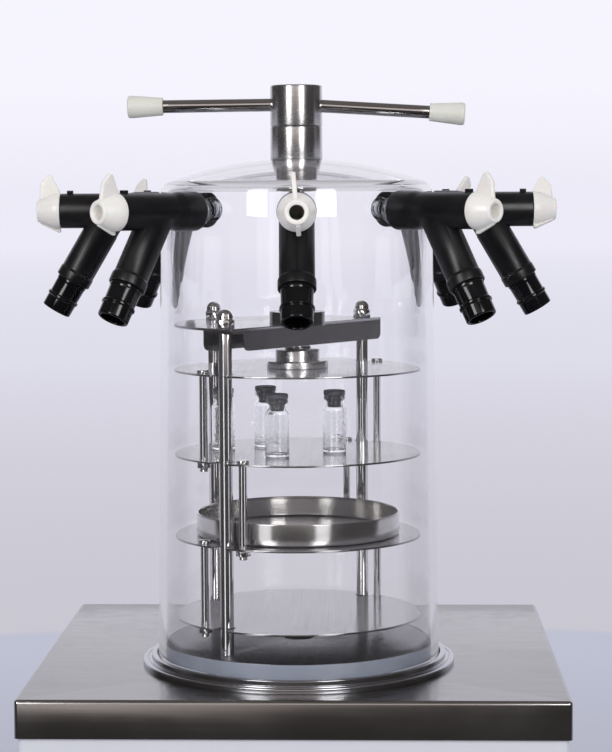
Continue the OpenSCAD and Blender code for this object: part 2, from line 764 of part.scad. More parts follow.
// Cabinet
module cabinet() {
    window = [panel_w / 2 - 6, panel_h / 2 - 6];
    louvre = [70, 190, 40, 5, 14];       // from and to in y, height of the lowest, its slot and the pitch
    color(grey) in_chamber() difference() {
        slab([-wrap_x, wrap_front, floor_z], [wrap_x, wrap_back, -deck_t]);
        slab([sheet_t - wrap_x, wrap_front + sheet_t, floor_z - eps],
             [wrap_x - sheet_t, wrap_back + eps, eps - deck_t]);
        slab([panel_x - window[0], wrap_front - eps, panel_z - window[1]],
             [panel_x + window[0], wrap_front + sheet_t + eps, panel_z + window[1]]);
        translate([0, wrap_front - eps, drain_z]) rotate([-90, 0, 0])
            cylinder(r = drain_r + air, h = sheet_t + 2 * eps);
        for (i = [0 : 8]) let (z = floor_z + louvre[2] + louvre[4] * i)
            slab([-wrap_x - eps, louvre[0], z], [wrap_x + eps, louvre[1], z + louvre[3]]);
    }
}

module chassis() {
    foot_hole = 3.3;
    bar_pitch = 12;
    bar_gap = 8;
    rows = floor(fan_r / bar_pitch);
    color(grey) in_chamber() difference() {
        slab([-pan_x, pan_front, floor_z], [pan_x, wrap_back, -deck_t]);
        slab([-pan_x - eps, pan_front - eps, floor_z + sheet_t], [pan_x + eps, rear_in, eps - deck_t]);
        translate([fan_x, rear_in - eps, fan_z]) rotate([-90, 0, 0]) linear_extrude(sheet_t + 2 * eps)
            intersection() {
                circle(r = fan_opening_r - 2);
                for (i = [-rows : rows])
                    translate([-fan_r, bar_pitch * i - bar_gap / 2]) square([2 * fan_r, bar_gap]);
            }
        translate([0, rear_in - eps, port_z]) rotate([-90, 0, 0])
            cylinder(r = port_r + port_wall + air, h = sheet_t + 2 * eps);
        slab([inlet_x - inlet_w / 2, rear_in - eps, inlet_z - inlet_h / 2],
             [inlet_x + inlet_w / 2, wrap_back + eps, inlet_z + inlet_h / 2]);
        foot_places() translate([0, 0, -eps]) cylinder(r = foot_hole, h = sheet_t + 2 * eps);
    }
}

module foot_places() {
    for (x = [-1, 1], y = [pan_front + foot_inset, wrap_back - foot_inset])
        translate([x * (pan_x - foot_inset), y, floor_z]) children();
}

module feet() {
    round = 3;
    neck = 3.2;
    color(black) in_chamber() foot_places() union() {
        rotate_extrude() polygon(concat(
            [[0, -foot_h]], arc([foot_d / 2 - round, -foot_h + round], round, -90, 0, 4),
            [[foot_d / 2, 0], [0, 0]]));
        translate([0, 0, -eps]) cylinder(r = neck, h = sheet_t + eps);
        translate([0, 0, sheet_t]) cylinder(r = 6, h = 3);
    }
}

// Cold trap and refrigeration
module cold_trap() {
    color(steel) in_chamber() difference() {
        rotate_extrude() polygon([
            [0, -trap_depth - trap_t], [trap_r + trap_t, -trap_depth - trap_t], [trap_r + trap_t, 0],
            [trap_flange_r, 0], [trap_flange_r, trap_t], [trap_r, trap_t],
            [trap_r, -trap_depth], [0, -trap_depth]]);
        translate([0, 0, -trap_depth - trap_t - eps]) cylinder(r = drain_r, h = trap_t + 2 * eps);
        translate([0, 0, port_z]) rotate([-90, 0, 0])
            cylinder(r = port_r + port_wall, h = trap_r + 3 * coil_r);
    }
}

// Tube wound round the trap, swept along a helix
module evaporator_coil() {
    rings = coil_turns * coil_steps;
    rise = atan(coil_pitch / (2 * PI * coil_ring));
    points = [for (i = [0 : rings], k = [0 : coil_sides - 1])
        let (a = 360 * i / coil_steps, b = 360 * k / coil_sides,
             out = coil_ring + coil_r * cos(b), up = coil_r * sin(b))
        [out * cos(a) + up * sin(rise) * sin(a), out * sin(a) - up * sin(rise) * cos(a),
         coil_top - coil_pitch * i / coil_steps + up * cos(rise)]];
    sides = [for (i = [0 : rings - 1], k = [0 : coil_sides - 1])
        let (n = (k + 1) % coil_sides, j = i * coil_sides)
        [j + k, j + n, j + coil_sides + n, j + coil_sides + k]];
    color([0.72, 0.45, 0.2]) in_chamber() polyhedron(points = points, faces = concat(
        [[for (k = [coil_sides - 1 : -1 : 0]) k]], sides,
        [[for (k = [0 : coil_sides - 1]) rings * coil_sides + k]]));
}

module insulation() {
    inner_floor = -trap_depth - trap_t - air;
    color([0.2, 0.2, 0.22]) in_chamber() difference() {
        translate([0, 0, inner_floor - foam_floor])
            cylinder(r = foam_out, h = foam_z - inner_floor + foam_floor);
        translate([0, 0, inner_floor]) cylinder(r = foam_in, h = trap_depth + 2 * foam_floor);
        translate([0, 0, inner_floor - foam_floor - eps])
            cylinder(r = drain_r + air, h = foam_floor + 2 * eps);
        translate([0, 0, port_z]) rotate([-90, 0, 0])
            cylinder(r = port_r + port_wall + air, h = 2 * foam_out);
    }
}

module compressor() {
    base = floor_z + sheet_t;
    body = base + comp_lift;
    seam = body + comp_h * 0.45;
    corners = [for (x = [-1, 1], y = [-1, 1]) [x * (comp_r - 10), y * (comp_r - 10)]];
    plate = 2.5;
    pin = 4;
    color(black) in_chamber() translate([comp_place[0], comp_place[1], 0]) {
        difference() {
            union() {
                rotate_extrude() polygon(concat(
                    [[0, body]], arc([comp_r - 24, body + 20], 20, -90, 0, 6),
                    [[comp_r - 4, body + 26], [comp_r - 4, seam], [comp_r, seam],
                     [comp_r, seam + 4], [comp_r - 5, seam + 4]],
                    arc([comp_r - 40, body + comp_h - 35], 35, 0, 90, 8), [[0, body + comp_h]]));
                translate([-comp_r, -comp_r, body]) cube([2 * comp_r, 2 * comp_r, plate]);
                for (a = [30, 90, 150]) rotate([0, 0, a]) translate([comp_r - 30, 0, body + comp_h * 0.6])
                    cylinder(r = 4, h = comp_h * 0.4 + comp_bolt);
            }
            for (p = corners) translate([p[0], p[1], body - eps]) cylinder(r = pin, h = plate + 2 * eps);
        }
        for (p = corners) translate([p[0], p[1], base]) {
            cylinder(r = 2 * pin, h = comp_lift);
            translate([0, 0, comp_lift - eps]) cylinder(r = pin - thread_fit, h = 2 * plate + eps);
        }
    }
}

// Finned core, its shroud and the motor that carries the fan
module condenser() {
    rail = [12, core_d, 5];
    low = floor_z + sheet_t + rail[2];
    fin_pitch = 6;
    back = core_y + core_d;
    color(dark_steel) in_chamber() {
        for (x = [fan_x - core_w / 3, fan_x + core_w / 3])
            translate([x - rail[0] / 2, core_y, low - rail[2]]) cube(rail + [0, 0, eps]);
        difference() {
            slab([fan_x - core_w / 2, core_y, low], [fan_x + core_w / 2, back, low + core_h]);
            for (x = [fan_x - core_w / 2 + 4 : fin_pitch : fan_x + core_w / 2 - 6])
                slab([x, core_y - eps, low + 4],
                     [x + fin_pitch - 1.5, core_y + core_d / 3, low + core_h - 4]);
        }
        difference() {
            slab([fan_x - core_w / 2, back, low], [fan_x + core_w / 2, back + shroud_d, low + core_h]);
            slab([fan_x - core_w / 2 + sheet_t, back - eps, low + sheet_t],
                 [fan_x + core_w / 2 - sheet_t, back + shroud_d - sheet_t, low + core_h - sheet_t]);
            translate([fan_x, back, fan_z]) rotate([-90, 0, 0])
                cylinder(r = fan_opening_r, h = shroud_d + eps);
        }
        translate([fan_x, back, fan_z]) rotate([-90, 0, 0]) {
            cylinder(r = fan_hub_r, h = fan_y - back - max(fan_hub_h / 2, blade_sweep) - 1);
            cylinder(r = fan_pin_r, h = fan_y - back + fan_hub_h / 2 + 4);
        }
    }
}

module fan_rotor() {
    blades = 7;
    size = [fan_r - fan_hub_r - 2, blade_w, blade_t];
    color(black) in_chamber() translate([fan_x, fan_y, fan_z]) rotate([-90, 0, 0]) difference() {
        union() {
            cylinder(r = fan_hub_r, h = fan_hub_h, center = true);
            for (i = [0 : blades - 1]) rotate([0, 0, 360 * i / blades]) translate([fan_hub_r - 2, 0, 0])
                rotate([blade_pitch, 0, 0]) translate([0, -size[1] / 2, -size[2] / 2]) cube(size);
        }
        cylinder(r = fan_pin_r + run_fit, h = 3 * fan_hub_h, center = true);
    }
}

module vacuum_port() {
    out = deck_back + port_out;
    start = trap_r + trap_t - 6;
    color(steel) in_chamber() translate([0, start, port_z]) rotate([-90, 0, 0]) difference() {
        union() {
            cylinder(r = port_r + port_wall, h = out - start);
            translate([0, 0, out - start - port_flange_h]) cylinder(r = port_flange_r, h = port_flange_h);
        }
        translate([0, 0, -eps]) cylinder(r = port_r, h = out - start + 2 * eps);
        translate([0, 0, out - start - port_seat]) cylinder(r = port_seat_r, h = port_seat + eps);
    }
}

// Drain pipe from the trap's floor to a quarter-turn valve on the front
module drain_valve() {
    color(steel) in_chamber() difference() {
        union() {
            translate([0, 0, drain_z]) cylinder(r = drain_r, h = -trap_depth - drain_z);
            translate([0, 0, drain_z]) sphere(r = drain_r);
            translate([0, drain_end, drain_z]) rotate([-90, 0, 0]) cylinder(r = drain_r, h = -drain_end);
            translate([0, lever_y - valve_block, drain_z]) rotate([-90, 0, 0])
                cylinder(r = valve_block, h = valve_block * 2);
            translate([0, lever_y, drain_z]) cylinder(r = lever_pin_r, h = valve_block + 10);
            translate([0, drain_end, drain_z]) rotate([-90, 0, 0])
                cylinder(r = hose_tail_r, h = hose_tail_len);
        }
        translate([0, 0, drain_z]) cylinder(r = drain_bore_r, h = trap_depth);
        translate([0, 0, drain_z]) sphere(r = drain_bore_r);
        translate([0, drain_end - eps, drain_z]) rotate([-90, 0, 0])
            cylinder(r = drain_bore_r, h = eps - drain_end);
    }
}

module drain_lever() {
    bar = 4;
    half_w = 6;
    eye_r = 9;
    color([0.7, 0.1, 0.1]) in_chamber() translate([0, lever_y, drain_z + valve_block + air]) difference() {
        union() {
            cylinder(r = eye_r, h = bar);
            slab([0, -half_w, 0], [lever_len - half_w, half_w, bar]);
            translate([lever_len - half_w, 0, 0]) cylinder(r = half_w, h = bar);
        }
        translate([0, 0, -eps]) cylinder(r = lever_pin_r + run_fit, h = bar + 2 * eps);
    }
}

// Electrical pieces
module power_inlet() {
    rim = 3;
    rim_t = 2;
    depth = 28;
    fit = 0.4;
    socket = [25, 18, -26, -8];          // width, depth, and its lowest and highest z from the middle
    blade = [2, 14, 5];
    color(black) in_chamber() translate([inlet_x, wrap_back, 0]) difference() {
        union() {
            slab([-inlet_w / 2 - rim, 0, inlet_z - inlet_h / 2 - rim],
                 [inlet_w / 2 + rim, rim_t, inlet_z + inlet_h / 2 + rim]);
            slab([-inlet_w / 2 + fit, -depth, inlet_z - inlet_h / 2 + fit],
                 [inlet_w / 2 - fit, eps, inlet_z + inlet_h / 2 - fit]);
        }
        difference() {
            slab([-socket[0] / 2, -socket[1], inlet_z + socket[2]],
                 [socket[0] / 2, rim_t + eps, inlet_z + socket[3]]);
            for (x = [-7, 0, 7])
                translate([x - blade[0] / 2, -socket[1] - eps, inlet_z - (x == 0 ? 17 : 20)]) cube(blade);
        }
        slab([-rocker_w / 2, -rocker_deep, rocker_z - rocker_h / 2],
             [rocker_w / 2, rim_t + eps, rocker_z + rocker_h / 2]);
        translate([-rocker_w / 2 - 2, -rocker_in, rocker_z]) rotate([0, 90, 0])
            cylinder(r = rocker_pin_r + run_fit, h = rocker_w + 4);
    }
}

module power_rocker() {
    half_w = rocker_w / 2 - air;
    half_h = rocker_h / 2 - 1.2;
    rise = [4.2, 5.6];                   // face of the rocker at its middle and at its ends
    color([0.15, 0.15, 0.15]) in_chamber() translate([inlet_x, wrap_back - rocker_in, rocker_z])
        rotate([rocker_tilt, 0, 0]) union() {
            translate([-half_w, 0, 0]) rotate([90, 0, 90]) linear_extrude(2 * half_w)
                polygon([[-rocker_in, -rocker_in], [-rocker_in, rocker_in], [rise[1] - 0.8, half_h],
                         [rise[1], half_h], [rise[0], 0], [rise[1], -half_h], [rise[1] - 0.8, -half_h]]);
            translate([-half_w - 1.5, 0, 0]) rotate([0, 90, 0])
                cylinder(r = rocker_pin_r, h = 2 * half_w + 3);
        }
}

module touch_panel() {
    bezel = 3;
    frame = 10;                          // frame round the screen
    screen_depth = 0.8;
    edge = 6.4;
    foam_edge = sqrt(pow(foam_out, 2) - pow(panel_x - panel_w / 2 + edge, 2));
    box = [panel_w / 2 - edge, -wrap_front - foam_edge - 1, panel_h / 2 - edge];
    color([0.1, 0.1, 0.12]) in_chamber() translate([panel_x, wrap_front, panel_z]) difference() {
        union() {
            slab([-panel_w / 2, -bezel, -panel_h / 2], [panel_w / 2, 0, panel_h / 2]);
            slab([-box[0], -eps, -box[2]], [box[0], box[1], box[2]]);
        }
        slab([frame - panel_w / 2, -bezel - eps, frame - panel_h / 2],
             [panel_w / 2 - frame, screen_depth - bezel, panel_h / 2 - frame]);
    }
}

drum();
valve_spigots();
for (i = VALVES) valve_body(i);
flask_sockets();
for (i = VALVES) valve_knob(i);
hub_bushing();
hub_nut();
handle_hub();
drive_shaft();
handle_rods();
handle_caps();
press_screw();
press_bearing();
press_plate();
upper_guides();
upper_shelf();
middle_guides();
vials();
vial_stoppers();
middle_shelf();
lower_guides();
tray();
lower_shelf();
rack_posts();
rack_nuts();
top_plate();
bridge();
base_plate();
base_ring();
drum_seal();
deck();
cabinet();
chassis();
feet();
cold_trap();
evaporator_coil();
insulation();
compressor();
condenser();
fan_rotor();
vacuum_port();
drain_valve();
drain_lever();
power_inlet();
power_rocker();
touch_panel();
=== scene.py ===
import json, math
import bmesh, bpy
from mathutils import Matrix, Vector

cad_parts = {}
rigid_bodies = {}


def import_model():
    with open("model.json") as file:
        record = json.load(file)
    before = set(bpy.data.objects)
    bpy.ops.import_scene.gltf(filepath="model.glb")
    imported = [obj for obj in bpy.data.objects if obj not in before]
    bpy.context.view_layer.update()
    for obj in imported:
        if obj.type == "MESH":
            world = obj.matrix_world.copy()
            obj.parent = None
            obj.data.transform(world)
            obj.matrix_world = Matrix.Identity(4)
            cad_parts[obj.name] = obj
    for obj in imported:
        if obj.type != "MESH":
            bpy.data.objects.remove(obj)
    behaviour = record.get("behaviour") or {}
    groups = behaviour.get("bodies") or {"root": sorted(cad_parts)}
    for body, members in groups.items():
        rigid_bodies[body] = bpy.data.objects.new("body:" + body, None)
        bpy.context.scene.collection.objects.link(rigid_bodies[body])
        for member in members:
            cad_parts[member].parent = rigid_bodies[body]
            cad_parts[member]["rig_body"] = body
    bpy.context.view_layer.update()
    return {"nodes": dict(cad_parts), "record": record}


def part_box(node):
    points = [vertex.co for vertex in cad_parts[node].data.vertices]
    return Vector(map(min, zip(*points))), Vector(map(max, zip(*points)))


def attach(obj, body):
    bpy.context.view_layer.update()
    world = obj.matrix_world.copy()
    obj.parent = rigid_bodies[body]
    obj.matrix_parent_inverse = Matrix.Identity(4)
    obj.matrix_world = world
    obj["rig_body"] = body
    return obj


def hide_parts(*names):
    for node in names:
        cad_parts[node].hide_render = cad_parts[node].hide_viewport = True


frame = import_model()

scene = bpy.context.scene
nodes = frame["nodes"]


def middle(name):
    low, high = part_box(name)
    return (low + high) / 2


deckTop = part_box("deck")[1].z
drumAxis = Vector((middle("drum").x, middle("drum").y, 0))
onDeck = Matrix.Translation(drumAxis + Vector((0, 0, deckTop)))   # zero is on the deck, under the drum's axis


def above(name, side=1):                        # a node's top or foot above the deck, in millimetres
    return (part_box(name)[side].z - deckTop) * 1000


def width(name):                                # a round node's radius in millimetres
    low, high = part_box(name)
    return (high.x - low.x) * 500


# camera, lights and floor
cameraSet = {"right": 0.0626, "back": 1.7872, "up": 0.3843,             # metres
             "tilt": 4.8, "turn": 1.762, "roll": 0.258, "lens": 105.52}     # degrees and millimetres
camera = bpy.data.objects.new("camera", bpy.data.cameras.new("camera"))
scene.collection.objects.link(camera)
camera.location = drumAxis + Vector((cameraSet["right"], -cameraSet["back"], deckTop + cameraSet["up"]))
facing = (90 - cameraSet["tilt"], cameraSet["roll"], cameraSet["turn"])
camera.rotation_euler = [math.radians(angle) for angle in facing]
camera.data.lens = cameraSet["lens"]
camera.data.clip_end = 60
scene.camera = camera
scene.view_settings.view_transform = "Standard"

softboxes = {                                   # angle from the camera's side in degrees, lengths in metres
    "leftSoftbox": {"angle": -30.5, "away": 1.6, "low": 0.74, "width": 0.46, "height": 0.9, "power": 8.5},
    "rightSoftbox": {"angle": 26, "away": 1.6, "low": 0.74, "width": 0.46, "height": 0.9, "power": 8.5}}
for name, box in softboxes.items():
    light = bpy.data.lights.new(name, "AREA")
    light.shape, light.size, light.size_y = "RECTANGLE", box["width"], box["height"]
    light.energy = box["power"]
    lamp = bpy.data.objects.new(name, light)
    scene.collection.objects.link(lamp)
    a = math.radians(box["angle"])
    lamp.location = drumAxis + Vector((box["away"] * math.sin(a), -box["away"] * math.cos(a),
                                       box["low"] + box["height"] / 2))
    lamp.rotation_euler = (math.radians(90), 0, a)
    lamp.visible_camera = False


def put(tree, kind, inputs=None, **settings):   # a node with its settings, values and links
    node = tree.nodes.new("ShaderNode" + kind)
    for name, value in settings.items():
        setattr(node, name, value)
    for name, value in (inputs or {}).items():
        if isinstance(value, bpy.types.NodeSocket):
            tree.links.new(value, node.inputs[name])
        else:
            node.inputs[name].default_value = value
    return node


def mathNode(tree, kind, a, b=0.0, c=0.0):
    return put(tree, "Math", {0: a, 1: b, 2: c}, operation=kind).outputs[0]


def times(tree, a, b):
    return mathNode(tree, "MULTIPLY", a, b)


def vectorNode(tree, kind, a, b=(0, 0, 0), output="Vector"):
    return put(tree, "VectorMath", {0: a, 1: b}, operation=kind).outputs[output]


def noise(tree, place, scale, detail, roughness=0.5, distortion=0.0):
    return put(tree, "TexNoise", {"Vector": place, "Scale": scale, "Detail": detail, "Roughness": roughness,
                                  "Distortion": distortion}).outputs[0]


def between(tree, value, low, high, toLow=0.0, toHigh=1.0):
    return put(tree, "MapRange", {"Value": value, "From Min": low, "From Max": high,
                                  "To Min": toLow, "To Max": toHigh}).outputs[0]


def mixColour(tree, factor, a, b):              # a plain colour has three numbers
    a, b = [(*colour, 1) if isinstance(colour, tuple) else colour for colour in (a, b)]
    return put(tree, "Mix", {0: factor, 6: a, 7: b}, data_type="RGBA").outputs[2]


def pale(r, g, b):                              # a screen colour, 0 to 255, as a scene colour
    def one(v):
        v /= 255
        return v / 12.92 if v < 0.04045 else ((v + 0.055) / 1.055) ** 2.4
    return (one(r), one(g), one(b))


# feet is the colour of the painted softbox glow
backdrop = {"top": pale(246, 245, 255), "level": pale(236, 235, 247), "middle": pale(222, 221, 234),
            "low": pale(201, 199, 209), "table": pale(190, 193, 210), "tableRadius": 1.9,
            "darkRoom": (0.045, 0.04, 0.038), "gap": 16.0, "caught": 0.5,
            "feet": (1.35, 1.35, 1.4), "fill": 0.62, "through": 1.08}


def roomTone(tree, place):                      # the studio's dark side, paler between the softboxes
    height = place.outputs["Z"]
    across = mathNode(tree, "ABSOLUTE", place.outputs["X"])
    gap = times(tree, between(tree, across, 0.5, 0.3), between(tree, height, 0.03, 0.12))
    gap = times(tree, gap, between(tree, height, 0.55, 0.4, 0.0, backdrop["gap"]))
    shade = mathNode(tree, "ADD", between(tree, height, 0.1, 0.9, 1.0, 3.5), gap)
    return put(tree, "VectorMath", {0: backdrop["darkRoom"], 3: shade}, operation="SCALE").outputs[0]


def seenMirrored(tree, rays):                   # 1 in a reflection, less for light caught inside a clear wall
    caught = mathNode(tree, "COMPARE", rays.outputs["Transmission Depth"], 1.5, 0.6)
    clearer = between(tree, caught, 0, 1, 1.0, backdrop["caught"])
    return times(tree, mathNode(tree, "MINIMUM", rays.outputs["Glossy Depth"], 1), clearer)


def paintedBoxFeet(tree, across, nearer, rays):        # painted glow for the softboxes' dim feet, seen by what is in the drum
    feet = 0.0
    slope = mathNode(tree, "DIVIDE", across, nearer)
    for box in softboxes.values():
        off = mathNode(tree, "SUBTRACT", slope, math.tan(math.radians(box["angle"])))
        feet = mathNode(tree, "MAXIMUM", feet, between(tree, mathNode(tree, "ABSOLUTE", off), 0.17, 0.12))
    return times(tree, feet, mathNode(tree, "GREATER_THAN", rays.outputs["Transmission Depth"], 2.5))


def glowStrength(tree, rays):                   # softer on matt surfaces, a little brighter through the drum
    strength = between(tree, rays.outputs["Is Diffuse Ray"], 0, 1, 1.0, backdrop["fill"])
    through = between(tree, rays.outputs["Is Transmission Ray"], 0, 1, 1.0, backdrop["through"])
    return times(tree, strength, through)


world = bpy.data.worlds.new("studio")
scene.world = world
world.use_nodes = True
tree = world.node_tree
tree.nodes.clear()
place = put(tree, "SeparateXYZ", {0: put(tree, "TexCoord").outputs["Generated"]})
rays = put(tree, "LightPath")
sky = mixColour(tree, between(tree, place.outputs["Z"], 0, 0.045), backdrop["level"], backdrop["top"])
front = times(tree, between(tree, place.outputs["Y"], 0.8, 0.6), seenMirrored(tree, rays))
room = mixColour(tree, front, sky, roomTone(tree, place))
# painted softbox glow in the world, seen through the drum
feet = paintedBoxFeet(tree, place.outputs["X"], times(tree, place.outputs["Y"], -1.0), rays)
feet = times(tree, feet, between(tree, place.outputs["Z"], 0.16, 0.12))
room = mixColour(tree, times(tree, feet, front), room, backdrop["feet"])
background = put(tree, "Background", {"Color": room, "Strength": glowStrength(tree, rays)})
put(tree, "OutputWorld", {0: background.outputs[0]})


def smoothed(mesh, angle):
    mesh.polygons.foreach_set("use_smooth", [True] * len(mesh.polygons))
    mesh.set_sharp_from_angle(angle=math.radians(angle))


def meshObject(name, mesh, material=None, angle=35):
    piece = bpy.data.objects.new(name, mesh)
    scene.collection.objects.link(piece)
    smoothed(mesh, angle)
    if material:
        mesh.materials.append(material)
    return piece


floorMesh = bpy.data.meshes.new("floor")
floorMesh.from_pydata([(-30, -30, 0), (30, -30, 0), (30, 30, 0), (-30, 30, 0)], [], [(0, 1, 2, 3)])
floor = meshObject("floor", floorMesh)
paper = bpy.data.materials.new("paleFloor")
paper.use_nodes = True
tree = paper.node_tree
tree.nodes.clear()
place = put(tree, "NewGeometry").outputs["Position"]
parts = put(tree, "SeparateXYZ", {0: place})
rays = put(tree, "LightPath")
away = vectorNode(tree, "DISTANCE", place, drumAxis, "Value")
speckle = noise(tree, place, 900.0, 2.0)
paperColour = mixColour(tree, between(tree, speckle, 0.35, 0.65), (0.66, 0.67, 0.75), (0.7, 0.71, 0.79))
paperBump = put(tree, "Bump", {"Height": speckle, "Strength": 0.1, "Distance": 0.0003}).outputs[0]
lit = put(tree, "BsdfPrincipled", {"Roughness": 0.75, "Base Color": paperColour, "Normal": paperBump})
rim = backdrop["tableRadius"]
far = mixColour(tree, between(tree, away, 1.9, 7.8), backdrop["low"], backdrop["middle"])
far = mixColour(tree, between(tree, away, 7.8, 28), far, backdrop["level"])
far = mixColour(tree, between(tree, away, rim - 0.02, rim + 0.02), backdrop["table"], far)
front = times(tree, between(tree, parts.outputs["Y"], 0.1, -0.5), seenMirrored(tree, rays))
seen = mixColour(tree, front, far, backdrop["darkRoom"])
# painted softbox glow on the floor, seen through the drum
feet = paintedBoxFeet(tree, mathNode(tree, "SUBTRACT", parts.outputs["X"], drumAxis.x),
               mathNode(tree, "SUBTRACT", drumAxis.y, parts.outputs["Y"]), rays)
seen = mixColour(tree, times(tree, feet, front), seen, backdrop["feet"])
glow = put(tree, "Emission", {"Color": seen, "Strength": glowStrength(tree, rays)})
ground = put(tree, "MixShader", {0: mathNode(tree, "MAXIMUM", between(tree, away, 0.75, 1.7), front),
                                 1: lit.outputs[0], 2: glow.outputs[0]})
put(tree, "OutputMaterial", {0: ground.outputs[0]})
floorMesh.materials.append(paper)
print("camera, lights and floor ready")


# effects that several finishes share
def shared(name, inputs, make, output="Mask"):  # a node group around what make returns
    group = bpy.data.node_groups.new(name, "ShaderNodeTree")
    for label, value in inputs.items():
        kind = "NodeSocketVector" if isinstance(value, tuple) else "NodeSocketFloat"
        group.interface.new_socket(label, in_out="INPUT", socket_type=kind).default_value = value
    group.interface.new_socket(output, in_out="OUTPUT", socket_type="NodeSocketFloat")
    made = make(group, group.nodes.new("NodeGroupInput").outputs)
    group.links.new(made, group.nodes.new("NodeGroupOutput").inputs[output])
    return group


def brushedLines(tree, inlet):
    stretched = vectorNode(tree, "MULTIPLY", inlet["Vector"], inlet["Along"])
    return between(tree, noise(tree, stretched, 1.0, 3.0, 0.6), 0.3, 0.7)


def turnedLines(tree, inlet):                   # rings round an upright axis
    fromCentre = vectorNode(tree, "SUBTRACT", inlet["Vector"], inlet["Centre"])
    radius = vectorNode(tree, "LENGTH", vectorNode(tree, "MULTIPLY", fromCentre, (1, 1, 0)), output="Value")
    height = put(tree, "SeparateXYZ", {0: fromCentre}).outputs["Z"]
    ring = put(tree, "CombineXYZ", {0: times(tree, radius, inlet["Fineness"]),
                                    1: times(tree, height, inlet["Fineness"])}).outputs[0]
    return between(tree, noise(tree, ring, 1.0, 2.0), 0.3, 0.7)


def blots(tree, inlet):
    return between(tree, noise(tree, inlet["Vector"], inlet["Size"], 5.0, 0.65, 0.4), 0.42, 0.68)


def mouldSkin(tree, inlet):
    place = {"Vector": inlet["Vector"], "Scale": inlet["Size"]}
    cells = put(tree, "TexVoronoi", place, feature="SMOOTH_F1").outputs["Distance"]
    return mathNode(tree, "ADD", cells, noise(tree, inlet["Vector"], inlet["Size"], 3.0))


def rubbedEdges(tree, inlet):                   # where the bevelled normal leaves the real one
    soft = put(tree, "Bevel", {"Radius": inlet["Radius"]}, samples=3).outputs[0]
    sharp = put(tree, "NewGeometry").outputs["Normal"]
    bend = between(tree, vectorNode(tree, "DOT_PRODUCT", soft, sharp, "Value"), 0.995, 0.9)
    return times(tree, bend, inlet["Amount"])


def dustOnTop(tree, inlet):
    up = put(tree, "SeparateXYZ", {0: put(tree, "NewGeometry").outputs["Normal"]}).outputs["Z"]
    fluff = between(tree, noise(tree, inlet["Vector"], 60.0, 6.0, 0.7), 0.4, 0.75)
    return times(tree, times(tree, between(tree, up, 0.4, 0.95), fluff), inlet["Amount"])


anywhere = (0, 0, 0)
brushedGrain = shared("brushedGrain", {"Vector": anywhere, "Along": (8, 600, 600)}, brushedLines)
turnedGrain = shared("turnedGrain", {"Vector": anywhere, "Centre": anywhere, "Fineness": 900.0}, turnedLines)
handMarks = shared("handMarks", {"Vector": anywhere, "Size": 25.0}, blots)
mouldGrain = shared("mouldGrain", {"Vector": anywhere, "Size": 1400.0}, mouldSkin, "Height")
edgeWear = shared("edgeWear", {"Radius": 0.001, "Amount": 1.0}, rubbedEdges)
settledDust = shared("settledDust", {"Vector": anywhere, "Amount": 0.2}, dustOnTop)


def useGroup(tree, group, **inputs):
    return put(tree, "Group", inputs, node_tree=group).outputs[0]


def bumped(tree, height, look, distance):
    return put(tree, "Bump", {"Height": height, "Strength": look["bump"], "Distance": distance}).outputs[0]


def dusty(tree, mask, look, dust):              # roughness between the look's limits, and more under dust
    low, high = look["roughness"]
    return mathNode(tree, "ADD", between(tree, mask, 0, 1, low, high), times(tree, dust, 0.3))


def worn(tree, colour, look):                   # brighter where edges rub
    if "wear" not in look:
        return colour
    rubbed = useGroup(tree, edgeWear, Radius=look["wear"][0], Amount=look["wear"][1])
    return mixColour(tree, rubbed, colour, look["bright"])


def newMaterial(name):
    material = bpy.data.materials.new(name)
    material.use_nodes = True
    material.node_tree.nodes.clear()
    return material, material.node_tree, put(material.node_tree, "TexCoord").outputs["Object"]


def metal(name, look):
    material, tree, place = newMaterial(name)
    if "centre" in look:
        grain = useGroup(tree, turnedGrain, Vector=place, Centre=look["centre"], Fineness=look["fineness"])
    else:
        grain = useGroup(tree, brushedGrain, Vector=place, Along=look["along"])
    marks = useGroup(tree, handMarks, Vector=place, Size=look.get("marks", 25.0))
    blend = mathNode(tree, "ADD", times(tree, grain, 0.45), times(tree, marks, 0.55))
    dust = useGroup(tree, settledDust, Vector=place, Amount=look.get("dust", 0.0))
    shader = put(tree, "BsdfPrincipled", {
        "Base Color": worn(tree, mixColour(tree, grain, look["colour"], look["dark"]), look), "Metallic": 1.0,
        "Roughness": dusty(tree, blend, look, dust), "Anisotropic": look.get("stretch", 0.0),
        "Anisotropic Rotation": 0.25, "Specular Tint": (look.get("tint", 1.0),) * 3 + (1,),
        "Normal": bumped(tree, grain, look, 0.00002)})
    if look.get("stretch"):                     # turned work spreads its highlights along the axis
        tangent = put(tree, "Tangent", direction_type="RADIAL", axis="Z").outputs[0]
        tree.links.new(tangent, shader.inputs["Tangent"])
    put(tree, "OutputMaterial", {0: shader.outputs[0]})
    return material


def moulded(name, look):
    material, tree, place = newMaterial(name)
    height = useGroup(tree, mouldGrain, Vector=place, Size=look["grain"])
    marks = useGroup(tree, handMarks, Vector=place, Size=look.get("marks", 30.0))
    dust = useGroup(tree, settledDust, Vector=place, Amount=look.get("dust", 0.0))
    colour = worn(tree, mixColour(tree, marks, look["colour"], look["shade"]), look)
    shader = put(tree, "BsdfPrincipled", {
        "Base Color": mixColour(tree, dust, colour, (0.45, 0.44, 0.43)), "IOR": 1.5,
        "Roughness": dusty(tree, marks, look, dust), "Coat Weight": look.get("coat", 0.0),
        "Coat Roughness": 0.08, "Subsurface Weight": look.get("depth", 0.0), "Subsurface Scale": 0.004,
        "Normal": bumped(tree, height, look, 0.0001)})
    put(tree, "OutputMaterial", {0: shader.outputs[0]})
    return material


